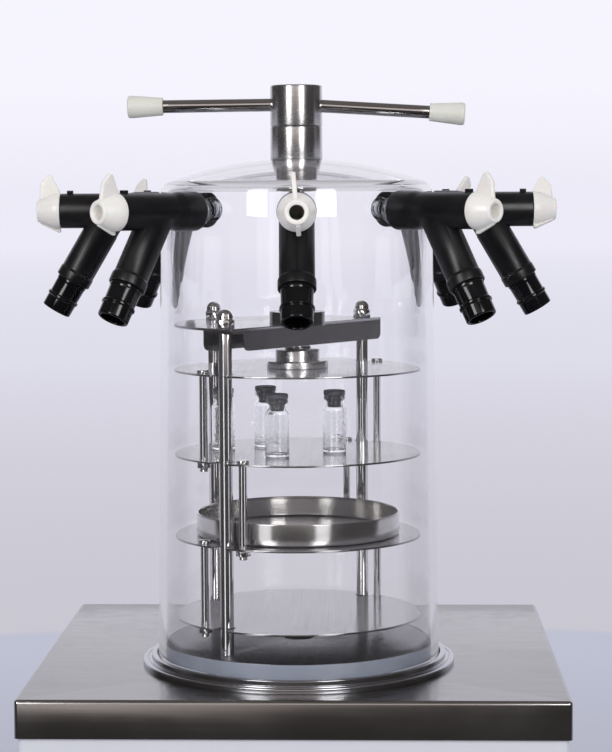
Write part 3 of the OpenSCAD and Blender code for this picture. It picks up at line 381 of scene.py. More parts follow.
def clear(name, look):
    material, tree, place = newMaterial(name)
    marks = useGroup(tree, handMarks, Vector=place, Size=look["marks"])
    ripple = noise(tree, place, look["ripple"], 2.0)
    facing = put(tree, "LayerWeight", {"Blend": 0.5}).outputs["Facing"]
    edge = between(tree, facing, 0.3, 0.5)      # painted shade where the wall turns away, much darker than its longer path through the wall would make it
    shader = put(tree, "BsdfPrincipled", {
        "Base Color": mixColour(tree, edge, look["colour"], look.get("edge", look["colour"])),
        "Roughness": between(tree, marks, 0, 1, *look["roughness"]), "Transmission Weight": 1.0,
        "IOR": look["ior"], "Normal": bumped(tree, ripple, look, 0.001)})
    rays = put(tree, "LightPath")
    deep = mathNode(tree, "GREATER_THAN", rays.outputs["Ray Depth"], look["depth"])   # lets trapped light out
    through = put(tree, "BsdfTransparent", {"Color": mixColour(tree, deep, look["shadow"], (1, 1, 1))})
    both = put(tree, "MixShader", {0: mathNode(tree, "MAXIMUM", rays.outputs["Is Shadow Ray"], deep),
                                   1: shader.outputs[0], 2: through.outputs[0]})
    put(tree, "OutputMaterial", {0: both.outputs[0]})
    return material


axisPlace = tuple(drumAxis)
clearLooks = {
    # clearAcrylic's edge colour is painted shade on the drum's turned-away rim
    "clearAcrylic": {"colour": (1, 1, 1), "edge": (0.74, 0.74, 0.75), "shadow": (0.95, 0.95, 0.96),
        "ior": 1.49, "depth": 3.5, "roughness": (0.0, 0.012), "marks": 9.0, "ripple": 9.0, "bump": 0.0},
    "smokedStub": {"colour": (0.32, 0.34, 0.37), "shadow": (0.3, 0.3, 0.32), "ior": 1.5, "depth": 3.5,
        "roughness": (0.03, 0.15), "marks": 80.0, "ripple": 260.0, "bump": 0.9},
    "vialGlass": {"colour": (0.985, 0.99, 0.99), "shadow": (0.9, 0.91, 0.92), "ior": 1.5,
        "depth": 7.5, "roughness": (0.01, 0.1), "marks": 90.0, "ripple": 420.0, "bump": 0.2}}
metalLooks = {
    "polishedSteel": {"colour": (0.6, 0.595, 0.6), "dark": (0.52, 0.515, 0.52), "centre": axisPlace,
        "fineness": 1500.0, "roughness": (0.22, 0.3), "stretch": 0.4, "bump": 0.01, "marks": 60.0},
    "polishedRod": {"colour": (0.62, 0.61, 0.61), "dark": (0.56, 0.55, 0.55), "along": (20, 900, 900),
        "roughness": (0.08, 0.14), "bump": 0.01, "marks": 60.0},
    "screwSteel": {"colour": (0.5, 0.49, 0.48), "dark": (0.4, 0.39, 0.38), "centre": axisPlace,
        "fineness": 900.0, "roughness": (0.18, 0.3), "bump": 0.05, "marks": 60.0},
    "rackSteel": {"colour": (0.62, 0.615, 0.62), "dark": (0.59, 0.585, 0.59), "along": (400, 400, 3),
        "roughness": (0.02, 0.06), "bump": 0.001, "marks": 70.0},
    "shelfSteel": {"colour": (0.42, 0.415, 0.43), "dark": (0.36, 0.355, 0.365),
        "along": (900, 9, 900), "tint": 0.85, "roughness": (0.1, 0.2), "bump": 0.03, "marks": 18.0,
        "dust": 0.1},
    "deckSteel": {"colour": (0.45, 0.445, 0.44), "dark": (0.38, 0.375, 0.37), "along": (7, 700, 700),
        "tint": 0.8, "roughness": (0.12, 0.24), "bump": 0.04, "marks": 7.0, "dust": 0.25},
    "ringSteel": {"colour": (0.46, 0.465, 0.49), "dark": (0.38, 0.385, 0.41), "centre": axisPlace,
        "fineness": 1100.0, "roughness": (0.14, 0.26), "bump": 0.05, "marks": 25.0},
    "plateSteel": {"colour": (0.36, 0.36, 0.375), "dark": (0.34, 0.34, 0.352), "centre": axisPlace,
        "fineness": 700.0, "tint": 0.5, "roughness": (0.22, 0.27), "bump": 0.01, "marks": 12.0},
    "castBridge": {"colour": (0.105, 0.1, 0.1), "dark": (0.08, 0.076, 0.076), "along": (60, 60, 900),
        "roughness": (0.16, 0.28), "bump": 0.01, "marks": 60.0, "wear": (0.0006, 0.7),
        "bright": (0.6, 0.6, 0.6)},
    "traySteel": {"colour": (0.52, 0.51, 0.5), "dark": (0.48, 0.47, 0.46), "centre": axisPlace,
        "fineness": 800.0, "roughness": (0.16, 0.22), "stretch": 0.7, "bump": 0.01, "marks": 30.0},
    "finMetal": {"colour": (0.5, 0.5, 0.52), "dark": (0.35, 0.35, 0.36), "along": (900, 300, 20),
        "roughness": (0.35, 0.5), "bump": 0.2, "dust": 0.4},
    "copperTube": {"colour": (0.72, 0.38, 0.24), "dark": (0.45, 0.24, 0.16), "along": (40, 40, 200),
        "roughness": (0.25, 0.45), "bump": 0.1}}
mouldedLooks = {
    "satinRubber": {"colour": (0.0035, 0.0035, 0.0045), "shade": (0.006, 0.006, 0.007),
        "grain": 2600.0, "roughness": (0.3, 0.42), "bump": 0.12, "dust": 0.03},
    "glossRubber": {"colour": (0.0025, 0.0025, 0.003), "shade": (0.004, 0.004, 0.005), "grain": 900.0,
        "roughness": (0.09, 0.17), "bump": 0.05},
    "ivoryPlastic": {"colour": (0.83, 0.81, 0.75), "shade": (0.79, 0.765, 0.69), "grain": 1100.0,
        "roughness": (0.24, 0.36), "bump": 0.05, "depth": 0.15},
    "ivoryCap": {"colour": (0.70, 0.70, 0.62), "shade": (0.64, 0.635, 0.55), "grain": 1100.0,
        "roughness": (0.35, 0.5), "bump": 0.06, "depth": 0.1},
    "stopperRubber": {"colour": (0.055, 0.055, 0.066), "shade": (0.1, 0.1, 0.115), "grain": 2200.0,
        "roughness": (0.4, 0.6), "bump": 0.2},
    "sealSilicone": {"colour": (0.16, 0.18, 0.215), "shade": (0.145, 0.16, 0.19), "grain": 1500.0,
        "roughness": (0.3, 0.45), "bump": 0.05, "depth": 0.1},
    "panelPaint": {"colour": (0.70, 0.71, 0.73), "shade": (0.685, 0.695, 0.715), "grain": 1300.0,
        "roughness": (0.34, 0.42), "bump": 0.25, "dust": 0.1, "wear": (0.0008, 0.25),
        "bright": (0.8, 0.8, 0.82)},
    "footRubber": {"colour": (0.014, 0.014, 0.014), "shade": (0.03, 0.03, 0.03), "grain": 1300.0,
        "roughness": (0.6, 0.8), "bump": 0.3, "dust": 0.15},
    "trapFoam": {"colour": (0.03, 0.03, 0.033), "shade": (0.05, 0.05, 0.055), "grain": 500.0,
        "roughness": (0.85, 0.95), "bump": 0.8},
    "compressorPaint": {"colour": (0.016, 0.016, 0.018), "shade": (0.022, 0.022, 0.025),
        "grain": 900.0, "roughness": (0.25, 0.4), "bump": 0.2, "dust": 0.3},
    "blackPlastic": {"colour": (0.02, 0.02, 0.022), "shade": (0.028, 0.028, 0.03), "grain": 1800.0,
        "roughness": (0.35, 0.5), "bump": 0.25, "dust": 0.05},
    "leverPlastic": {"colour": (0.5, 0.02, 0.015), "shade": (0.42, 0.018, 0.014), "grain": 1300.0,
        "roughness": (0.3, 0.42), "bump": 0.08},
    "screenBlack": {"colour": (0.008, 0.009, 0.011), "shade": (0.012, 0.013, 0.016), "grain": 300.0,
        "roughness": (0.05, 0.12), "bump": 0.0, "marks": 40.0, "coat": 0.5}}
finishes = {}
for make, looks in ((clear, clearLooks), (metal, metalLooks), (moulded, mouldedLooks)):
    finishes.update({name: make(name, look) for name, look in looks.items()})

otherNames = {"smoke_spigot": "smokedStub", "valve_rubber": "satinRubber", "socket_rubber": "glossRubber",
              "foam": "trapFoam"}


def finishFor(slot):                            # most slots and finishes have the same words
    first, *rest = slot.split("_")
    return otherNames.get(slot, first + "".join(word.title() for word in rest))


def painted(piece, finish):
    piece.data.materials.clear()
    piece.data.materials.append(finishes[finish])


nodeSlot = {part["node"]: part["material_slot"] for part in frame["record"]["subparts"]}
for name, node in nodes.items():
    painted(node, finishFor(nodeSlot[name]))
print("finishes ready")


# mesh helpers; outlines are in millimetres
def rounded(points, steps=5):                   # (a, b) or (a, b, radius) corners, rounded with arcs
    line = []
    for i, point in enumerate(points):
        here = Vector(point[:2])
        before = Vector(points[i - 1][:2]) - here
        after = Vector(points[(i + 1) % len(points)][:2]) - here
        half = before.angle(after) / 2 if len(point) > 2 else math.pi
        if half > math.radians(89):
            line.append(tuple(here))
            continue
        cut = min(point[2] / math.tan(half), before.length * 0.49, after.length * 0.49)
        r = cut * math.tan(half)
        heart = here + (before.normalized() + after.normalized()).normalized() * (r / math.sin(half))
        start, end = here + before.normalized() * cut - heart, here + after.normalized() * cut - heart
        turn = start.angle_signed(end)
        for k in range(steps + 1):
            spoke = start.copy()
            spoke.rotate(Matrix.Rotation(-turn * k / steps, 2))
            line.append(tuple(heart + spoke))
    return line


def tidy(mesh):                                 # welds doubles and turns every face outward
    shape = bmesh.new()
    shape.from_mesh(mesh)
    bmesh.ops.remove_doubles(shape, verts=shape.verts, dist=1e-7)
    bmesh.ops.recalc_face_normals(shape, faces=shape.faces)
    shape.to_mesh(mesh)
    shape.free()


def solid(name, verts, faces, place, finish, angle=35):
    mesh = bpy.data.meshes.new(name)
    mesh.from_pydata([tuple(c * 0.001 for c in v) for v in verts], [], faces)
    tidy(mesh)
    if place:
        mesh.transform(place)
    return meshObject(name, mesh, finishes[finish] if finish else None, angle)


def lathe(name, outline, place=None, steps=128, finish=None, angle=35):
    verts, faces, rows = [], [], []             # outline of (radius, height), turned about z
    for r, z in outline:
        count = steps if r > 1e-4 else 1        # a point on the axis is one vertex
        rows.append(range(len(verts), len(verts) + count))
        for k in range(count):
            a = 2 * math.pi * k / steps
            verts.append((r * math.cos(a), r * math.sin(a), z) if count > 1 else (0, 0, z))
    for a, b in zip(rows, rows[1:] + rows[:1]):
        for k in range(steps):
            n = (k + 1) % steps
            if len(a) == 1 and len(b) == 1:
                break
            if len(a) == 1:
                faces.append((a[0], b[n], b[k]))
            elif len(b) == 1:
                faces.append((a[k], a[n], b[0]))
            else:
                faces.append((a[k], a[n], b[n], b[k]))
    return solid(name, verts, faces, place, finish, angle)


def slab(name, outline, low, high, place=None, finish=None, bevel=0.0, segments=2):
    count = len(outline)                        # outline of (x, y), from height low to height high
    verts = [(x, y, z) for z in (low, high) for x, y in outline]
    faces = [tuple(reversed(range(count))), tuple(range(count, 2 * count))]
    faces += [(k, (k + 1) % count, count + (k + 1) % count, count + k) for k in range(count)]
    piece = solid(name, verts, faces, place, finish)
    if bevel:
        addBevel(piece, bevel, segments)
    return piece


def block(name, outline, low, high, place=None, bevel=0.4, segments=2):       # a slab with its bevel applied
    piece = slab(name, outline, low, high, place, None, bevel, segments)
    freeze(piece)
    return piece


def hole(radius, low, high, place, steps=48):   # a round cutter along z
    return lathe("cut", [(0, low), (radius, low), (radius, high), (0, high)], place, steps)


def addBevel(piece, bevel, segments=2):
    edge = piece.modifiers.new("edges", "BEVEL")
    edge.width, edge.segments = bevel * 0.001, segments
    edge.limit_method, edge.angle_limit = "ANGLE", math.radians(32)
    edge.harden_normals = True


def booleans(piece, others, kind, angle=35):    # works the others into the piece, one after another
    for other in others:
        change = piece.modifiers.new("change", "BOOLEAN")
        change.operation, change.solver, change.object = kind, "EXACT", other
        freeze(piece, angle)
        bpy.data.objects.remove(other)


def cutAway(piece, tools, finish=None):         # takes the tools' shapes out of the piece
    booleans(piece, tools, "DIFFERENCE")
    if finish:
        painted(piece, finish)


def freeze(piece, angle=35):                    # applies what the modifiers made
    graph = bpy.context.evaluated_depsgraph_get()
    made = bpy.data.meshes.new_from_object(piece.evaluated_get(graph))
    piece.modifiers.clear()
    piece.data = made
    smoothed(made, angle)


def union(name, parts, finish, angle=35):       # joins overlapping shapes into one skin
    first = parts[0]
    booleans(first, parts[1:], "UNION", angle)
    first.name = name
    painted(first, finish)
    return first


def copyOf(piece, name, place):                 # another of the same mesh, moved by a matrix
    twin = bpy.data.objects.new(name, piece.data)
    scene.collection.objects.link(twin)
    twin.matrix_world = place
    return twin


def arcLine(a, b, r, start, end, steps):        # from angle start to angle end round (a, b)
    angles = [math.radians(start + (end - start) * k / steps) for k in range(steps + 1)]
    return [(a + r * math.cos(angle), b + r * math.sin(angle)) for angle in angles]


def standsFor(piece, *names):                   # takes over from CAD nodes, on their body
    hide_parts(*names)
    return fixedTo(piece, names[0])


def fixedTo(piece, node):            # moves with a CAD node's body
    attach(piece, nodes[node]["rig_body"])
    return piece


def joined(name, meshes):
    shape = bmesh.new()
    for mesh in meshes:
        shape.from_mesh(mesh)
    mesh = bpy.data.meshes.new(name)
    shape.to_mesh(mesh)
    shape.free()
    return mesh


def merged(name, piece, places):                # one mesh holding the piece at each place
    copies = [piece.data.copy() for place in places]
    for mesh, place in zip(copies, places):
        mesh.transform(place)
    whole = joined(name, copies)
    for mesh in copies:
        bpy.data.meshes.remove(mesh)
    for material in piece.data.materials:
        whole.materials.append(material)
    result = bpy.data.objects.new(name, whole)
    scene.collection.objects.link(result)
    bpy.data.objects.remove(piece)
    return result


def shift(x=0.0, y=0.0, z=0.0):                 # a move in millimetres
    return Matrix.Translation((x * 0.001, y * 0.001, z * 0.001))


def turned(degrees, axis="Z"):
    return Matrix.Rotation(math.radians(degrees), 4, axis)


# drum
drum = {"draft": 5.5, "wall": 6.0, "shoulder": 10.0, "crown": 300.0, "hub": 22.0, "hole": 12.0,
        "valves": 8, "turn": 272.0, "bore": 10.0}
drumFoot, drumTop, drumLow = width("drum"), above("drum"), above("drum", 0)
shoulder = drumFoot - drum["draft"]
crownMiddle = drumTop - math.sqrt(drum["crown"] ** 2 - drum["hub"] ** 2)
bendRadius = shoulder - drum["shoulder"]
bendHeight = crownMiddle + math.sqrt((drum["crown"] - drum["shoulder"]) ** 2 - bendRadius ** 2)
bendAngle = math.degrees(math.asin(bendRadius / (drum["crown"] - drum["shoulder"])))
flatAngle = math.degrees(math.asin(drum["hub"] / drum["crown"]))


def drumLine(inset):
    bend = arcLine(bendRadius, bendHeight, drum["shoulder"] - inset, 0, 90 - bendAngle, 16)
    wall = [(drumFoot - inset + (bend[0][0] - drumFoot + inset) * k / 40,
             drumLow + (bend[0][1] - drumLow) * k / 40) for k in range(1, 40)]
    crown = arcLine(0, crownMiddle, drum["crown"] - inset, 90 - bendAngle, 90 - flatAngle, 14)[1:]
    return [(drumFoot - inset, drumLow + 0.8), *wall, *bend, *crown, (drum["hole"], drumTop - inset)]


foot = [(drumFoot - drum["wall"] + 0.8, drumLow), (drumFoot - 0.8, drumLow)]
bell = lathe("bell", foot + drumLine(0) + list(reversed(drumLine(drum["wall"]))), onDeck, 160,
             finish="clearAcrylic", angle=40)
valveHeight = (middle("valve_spigots").z - deckTop) * 1000
valvePlaces = []                                # local x points outward, zero is on the drum's axis
for k in range(drum["valves"]):
    valvePlaces.append(onDeck @ shift(z=valveHeight) @ turned(drum["turn"] + 45 * k))
sideways = turned(90, "Y")                      # turns z to x
bores = [hole(drum["bore"], shoulder - 20, shoulder + 12, place @ sideways, 32) for place in valvePlaces]
bores[0].data.materials.append(finishes["clearAcrylic"])
cutAway(bell, bores)
standsFor(bell, "drum")
print("drum ready")


# valves on the drum
valve = {"sleeve": 15.2, "sleeveLength": 20.0, "taper": 7.0, "nose": 2.6, "tube": 14.0, "bore": 10.0,
         "out": 81.0, "branchOut": 39.0, "tilt": 30.5, "branch": 13.3, "branchLength": 65.6, "collar": 1.0,
         "collarLength": 8.2, "branchBore": 8.0, "seat": 11.0, "seatDepth": 22.0, "lug": (5.0, 2.4),
         "flash": 0.35}
spigot = {"inside": 10.0, "wall": 3.5, "waist": 0.5}
socket = {"bore": 9.5, "tail": 11.0, "outside": 12.2, "out": 27.5, "ridgeAt": 15.0, "ridge": 0.9,
          "ridgeWidth": 1.6, "mouth": 1.6}
knob = {"length": 19.1, "stem": 9.9, "rim": 14.2, "nose": 9.2, "vent": 5.5, "fin": 29.5, "finThick": 3.4,
        "turns": [5, 0, -29, 20, -12, 25, 0, -8]}
sleeveStart = drumFoot - drum["draft"] * (valveHeight - drumLow) / (bendHeight - drumLow) + 0.3
sleeveEnd = sleeveStart + valve["sleeveLength"]
tubeEnd, branchAt = shoulder + valve["out"], shoulder + valve["branchOut"]
branchPlace = shift(branchAt) @ turned(180 - valve["tilt"], "Y")   # local z runs down the branch
branchEnd = valve["branchLength"]


def valveMesh():
    outer, thick, branch = valve["sleeve"], valve["tube"], valve["branch"]
    collar, collarFoot = branch + valve["collar"], branchEnd - valve["collarLength"]
    length, height = valve["lug"]
    quarter = [math.radians(a) for a in range(0, 91, 10)]
    nose = [(outer - 3 + 3 * math.sin(a), sleeveStart + valve["nose"] * (1 - math.cos(a))) for a in quarter]
    tube = lathe("valveBody", [(0, sleeveStart)] + nose + rounded([
        (outer, sleeveEnd - 4), (outer, sleeveEnd, 10), (thick, sleeveEnd + valve["taper"], 10),
        (thick, tubeEnd, 0.7), (0, tubeEnd)], 5), sideways, 72)
    arm = lathe("branch", rounded([
        (0, 0), (branch, 0), (branch, collarFoot - 1, 2), (collar, collarFoot + 1, 2),
        (collar, branchEnd, 0.8), (0, branchEnd)], 4), branchPlace, 72)
    lug = block("lug", rounded([(-length, -2.5, 0.8), (0, -2.5, 0.8), (0, 2.5, 0.8), (-length, 2.5, 0.8)], 4),
                thick - 1, thick + height, shift(tubeEnd - length))
    crest = branch + valve["flash"]
    ridge = [(-0.3, branch - 1), (0.3, branch - 1), (0.12, crest), (-0.12, crest)]
    flashes = [slab("flash", ridge, start, collarFoot, branchPlace @ turned(side))
               for start, side in ((10, 90), (18, -90))]
    body = union("valveBody", [tube, arm, lug, *flashes], "satinRubber")
    bore, seat, seatFoot = valve["branchBore"], valve["seat"], branchEnd - valve["seatDepth"]
    seatLine = [(0, 0), (bore, 0), (bore, seatFoot), (seat, seatFoot), (seat, branchEnd + 5),
                (0, branchEnd + 5)]
    cutAway(body, [hole(valve["bore"], sleeveStart - 5, tubeEnd + 5, sideways),
                   lathe("cut", seatLine, branchPlace, 48)])
    return body


def knobMesh():
    rim, nose, top, stem, vent = [knob[part] for part in ("rim", "nose", "fin", "stem", "vent")]
    head, tip, stemStart = tubeEnd + 0.3, tubeEnd + knob["length"], sleeveEnd + 4
    cone = [(rim, head), (rim + 0.1, head + 1.5), (rim - 0.1, head + 3.5)]
    cone += [(rim - 0.1 - (rim - nose) * (k / 12) ** 1.25, head + 3.5 + (tip - head - 5) * k / 12)
             for k in range(1, 13)]
    cone += arcLine(nose - 1.6, tip - 1.5, 1.5, 15, 90, 5)
    neck = rounded([(0, stemStart), (stem, stemStart, 0.6), (stem, head), (rim - 0.5, head)], 3)
    plug = lathe("valveKnob", neck + cone + [(0, tip)], sideways, 72)
    upright = turned(90, "X")                   # the fin's outline is drawn in x and z
    half = knob["finThick"] / 2
    finLine = rounded([(head, 6), (head, rim + 0.5, 1), (head + 6.5, top - 1.8, 4), (head + 8.7, top, 1.6),
                       (head + 11, top - 1, 3), (tip - 2.6, top - 7.5, 6), (tip - 1.6, 6)], 6)
    ribLine = rounded([(head, -6), (head, -rim - 3.2, 0.8), (head + 2.2, -rim - 3.2, 1.2),
                       (tip - 2, -nose - 1), (tip - 2, -6)], 4)
    blades = [block("blade", line, -half, half, upright, 1.1, 3) for line in (finLine, ribLine)]
    body = union("valveKnob", [plug, *blades], "ivoryPlastic", 50)
    ventStart = branchAt + valve["bore"] * math.tan(math.radians(valve["tilt"])) - 6
    cutAway(body, [
        lathe("cut", [(0, ventStart), (vent, ventStart), (vent, tip - 0.8), (vent + 0.9, tip + 0.1),
                      (vent + 0.9, tip + 3), (0, tip + 3)], sideways, 48),
        hole(4, 0, 12, shift(ventStart + 6), 24)])
    return body


body, plug = valveMesh(), knobMesh()
for k, place in enumerate(valvePlaces):
    standsFor(copyOf(body, f"valveBody{k + 1}", place), f"valve_body_{k + 1}")
    standsFor(copyOf(plug, f"valveKnob{k + 1}", place @ turned(knob["turns"][k], "X")), f"valve_knob_{k + 1}")
bpy.data.objects.remove(body)
bpy.data.objects.remove(plug)

insideEnd, stubOut, stubIn = shoulder - spigot["inside"], valve["bore"], valve["bore"] - spigot["wall"]
stub = lathe("drumSpigots", rounded([
    (stubOut, insideEnd, 1.4), (stubOut, insideEnd + 5, 1), (stubOut - spigot["waist"], insideEnd + 7, 1),
    (stubOut, insideEnd + 9, 1), (stubOut, sleeveEnd, 0.8), (stubIn, sleeveEnd, 0.8),
    (stubIn, insideEnd, 1.2)], 4), sideways, 48, finish="smokedStub")
standsFor(merged("drumSpigots", stub, valvePlaces), "valve_spigots")

barrel, ridgeFoot, ridgeTop = socket["outside"], socket["ridgeAt"], socket["ridgeAt"] + socket["ridgeWidth"]
ridge, mouth, inner = barrel + socket["ridge"], socket["out"], socket["bore"]
sleeve = lathe("flaskSockets", rounded([
    (inner, -valve["seatDepth"]), (socket["tail"], -valve["seatDepth"]), (socket["tail"], -0.3),
    (barrel + 0.4, 0.1, 0.5), (barrel + 0.3, 2.2, 0.8), (barrel - 0.1, 3.4, 1.5),
    (barrel - 0.3, ridgeFoot - 0.8, 0.6), (ridge, ridgeFoot, 0.5), (ridge, ridgeTop, 0.6),
    (barrel - 0.1, ridgeTop + 1, 0.8), (barrel - 0.2, mouth, socket["mouth"]), (inner + 0.1, mouth, 0.9),
    (inner, mouth - 2)]), branchPlace @ shift(z=branchEnd), 72, "glossRubber")
standsFor(merged("flaskSockets", sleeve, valvePlaces), "flask_sockets")
print("valves ready")


# hub and handle on the crown
hub = {"radius": 21.0, "round": 0.9, "shaft": 6.58, "spigot": 12.0, "spigotLength": 23.5, "armRise": 0.53,
       "rod": 5.25, "rodSeat": 10.0, "recess": 0.9, "droop": (0.5, 3.5)}
cap = {"start": 107.5, "end": 136.0, "inner": 7.15, "outer": 9.15, "bore": 15.0, "round": 1.7}
bushingTop, bushingFoot = above("hub_bushing"), drumTop - hub["spigotLength"]
hubFoot, hubTop = above("handle_hub", 0), above("handle_hub")
armHeight = hubFoot + (hubTop - hubFoot) * hub["armRise"]
armPlaces = [onDeck @ shift(z=armHeight) @ turned(side) @ turned(droop, "Y") @ sideways
             for side, droop in zip((180, 0), hub["droop"])]                # local z runs out along an arm

bushing = lathe("hubBushing", rounded([
    (hub["shaft"], bushingFoot), (hub["spigot"], bushingFoot, 0.6), (hub["spigot"], drumTop),
    (hub["radius"], drumTop, 0.3), (hub["radius"], bushingTop, hub["round"]), (hub["shaft"], bushingTop)], 4),
    onDeck, 128, finish="polishedSteel")
standsFor(bushing, "hub_bushing")
knuckle = lathe("handleHub", rounded([
    (0, hubFoot), (hub["radius"], hubFoot, hub["round"]), (hub["radius"], hubTop, 1.3), (0, hubTop)], 5),
    onDeck, 128)
rod, rodSeat, mouth = hub["rod"], hub["rodSeat"], hub["radius"] + 1.4
rodHole = [(0, rodSeat), (rod, rodSeat), (rod, hub["radius"] - hub["recess"]), (rod + 2.2, mouth), (0, mouth)]
rodHoles = [lathe("cut", rodHole, place, 48) for place in armPlaces]
cutAway(knuckle, [*rodHoles, hole(hub["shaft"], hubFoot - 5, armHeight, onDeck)], "polishedSteel")
standsFor(knuckle, "handle_hub")

rodEnd, capFoot, capEnd = cap["start"] + cap["bore"], cap["start"], cap["end"]
bar = lathe("handleRods", rounded([(0, rodSeat), (rod, rodSeat, 0.5), (rod, rodEnd, 0.5), (0, rodEnd)], 3),
            None, 64, "polishedRod")
standsFor(merged("handleRods", bar, armPlaces), "handle_rods")
capLine = rounded([
    (cap["inner"] - 0.7, capFoot), (cap["inner"], capFoot, 0.7), (cap["inner"] + 0.9, capFoot + 12, 30),
    (cap["outer"] - 0.1, capEnd - 4, 12), (cap["outer"] - 0.2, capEnd, cap["round"]), (3, capEnd - 0.1, 6),
    (0, capEnd - 0.4)], 6)
grip = lathe("handleCaps", [(rod, capFoot), *capLine, (0, rodEnd), (rod, rodEnd)], None, 72, "ivoryCap")
standsFor(merged("handleCaps", grip, armPlaces), "handle_caps")
print("handle ready")


# press
press = {"screw": 11.0, "thread": 0.95, "pitch": 3.0, "hexFlats": 12.0, "hexLength": 18.0, "journal": 7.0,
         "journalLength": 9.0, "flange": 25.0, "flangeHeight": 5.5, "body": 18.0, "bodyHeight": 9.0}
plateTop = above("press_plate")
flangeTop = plateTop + press["flangeHeight"]
bodyTop = flangeTop + press["bodyHeight"]
screwFoot, hexFoot = bodyTop + 0.3, above("press_screw") - press["hexLength"]


def threaded(name, look, low, high, finish, steps=72, perTurn=12):    # a bar with a real helical thread
    rows = int((high - low) / look["pitch"] * perTurn)
    verts, faces = [], []
    for i in range(rows + 1):
        z = low + (high - low) * i / rows
        fade = min(1, (z - low) / 1.2, (high - z) / 1.2)
        for k in range(steps):
            turn = (i / perTurn - k / steps) % 1
            wave = min(1, max(0, 1.35 - abs(turn * 2 - 1) * 1.9))
            r = look["screw"] - look["thread"] + look["thread"] * wave * fade
            a = 2 * math.pi * k / steps
            verts.append((r * math.cos(a), r * math.sin(a), z))
    for i in range(rows):
        for k in range(steps):
            a, b = i * steps + k, i * steps + (k + 1) % steps
            faces.append((a, b, b + steps, a + steps))
    faces += [tuple(reversed(range(steps))), tuple(range(rows * steps, (rows + 1) * steps))]
    return solid(name, verts, faces, onDeck, finish, 50)


def hexagon(flats):
    return arcLine(0, 0, flats / math.sqrt(3), 0, 300, 5)


screw = threaded("pressScrew", press, screwFoot, hexFoot, "screwSteel")
drive = block("drive", hexagon(press["hexFlats"]), hexFoot - 1, hexFoot + press["hexLength"], onDeck, 0.5)
journalFoot, neck = screwFoot - press["journalLength"], press["journal"]
journal = lathe("journal", rounded([(0, journalFoot), (neck, journalFoot, 0.6), (neck, screwFoot + 1),
                                    (0, screwFoot + 1)], 3), onDeck, 48)
standsFor(union("pressScrew", [screw, drive, journal], "screwSteel", 50), "press_screw")

seatFoot = bodyTop - press["journalLength"]
bearing = lathe("pressBearing", rounded([
    (0, plateTop), (press["flange"], plateTop, 0.4), (press["flange"], flangeTop, 1.0),
    (press["body"], flangeTop, 0.5), (press["body"], bodyTop, 1.0), (neck + 0.1, bodyTop, 0.3),
    (neck + 0.1, seatFoot), (0, seatFoot)], 4),
    onDeck, 96, finish="polishedSteel")
standsFor(bearing, "press_bearing")
print("press ready")


# vials and tray
vial = {"radius": 9.6, "wall": 1.1, "height": 46.0, "neck": 6.8, "lip": 8.6, "lipHeight": 3.5,
        "places": [(-15, -37), (-28, 34), (30, -5), (-62, 14)]}
stopper = {"radius": 8.8, "height": 4.0, "leg": 5.7, "legLength": 10.0, "gap": 0.3, "slot": 1.9}
tray = {"radius": 83.0, "wall": 1.0, "height": 18.0, "hem": 0.75}
belly, vialTop, lipFoot = vial["radius"], vial["height"], vial["height"] - vial["lipHeight"]
vialShoulder = lipFoot - 7
vialInner, neckInner = belly - vial["wall"], vial["neck"] - vial["wall"]
bottle = lathe("vials", rounded([
    (0, 0.7), (belly - 3, 0.5, 2), (belly - 2, 0, 0.8), (belly, 0, 1.4), (belly, vialShoulder, 3),
    (vial["neck"], vialShoulder + 3.6, 2), (vial["neck"], lipFoot, 0.6), (vial["lip"], lipFoot, 0.9),
    (vial["lip"], vialTop, 0.9), (neckInner, vialTop, 0.7), (neckInner, vialShoulder + 3, 2),
    (vialInner, vialShoulder - 0.6, 3), (vialInner, 1.9, 1.2), (0, 2.1)], 5), None, 64, "vialGlass", 40)
vialPlaces = [onDeck @ shift(x, y, above("vials", 0)) for x, y in vial["places"]]
standsFor(merged("vials", bottle, vialPlaces), "vials")
disc, thick, leg, legFoot = stopper["radius"], stopper["height"], stopper["leg"], -stopper["legLength"]
bung = lathe("vialStoppers", rounded([
    (0, legFoot), (leg - 0.4, legFoot, 0.8), (leg, -5, 0.3), (leg, 0), (disc, 0, 0.5), (disc, thick, 0.9),
    (disc - 2, thick, 0.4), (disc - 2.4, thick - 0.4, 0.4), (3, thick - 0.4, 0.4), (2.6, thick - 0.1, 0.4),
    (0, thick - 0.1)], 4), None, 64)
half = stopper["slot"] / 2
slit = slab("cut", [(-9, -half), (9, -half), (9, half), (-9, half)], legFoot - 1, -3.2)
cutAway(bung, [slit], "stopperRubber")
standsFor(merged("vialStoppers", bung, [place @ shift(z=vialTop + stopper["gap"]) for place in vialPlaces]),
          "vial_stoppers")

brim, sheet, hem, rise = tray["radius"], tray["wall"], tray["hem"], tray["height"]
dish = lathe("tray", rounded([
    (0, 0), (brim, 0, 2.2), (brim, rise, hem), (brim - 1.7, rise, hem), (brim - 1.7, rise - 1.8, 0.3),
    (brim - sheet, rise - 2.2, 0.3), (brim - sheet, sheet, 1.8), (0, sheet)]),
    onDeck @ shift(z=above("tray", 0)), 160, "traySteel")
standsFor(dish, "tray")
print("vials and tray ready")


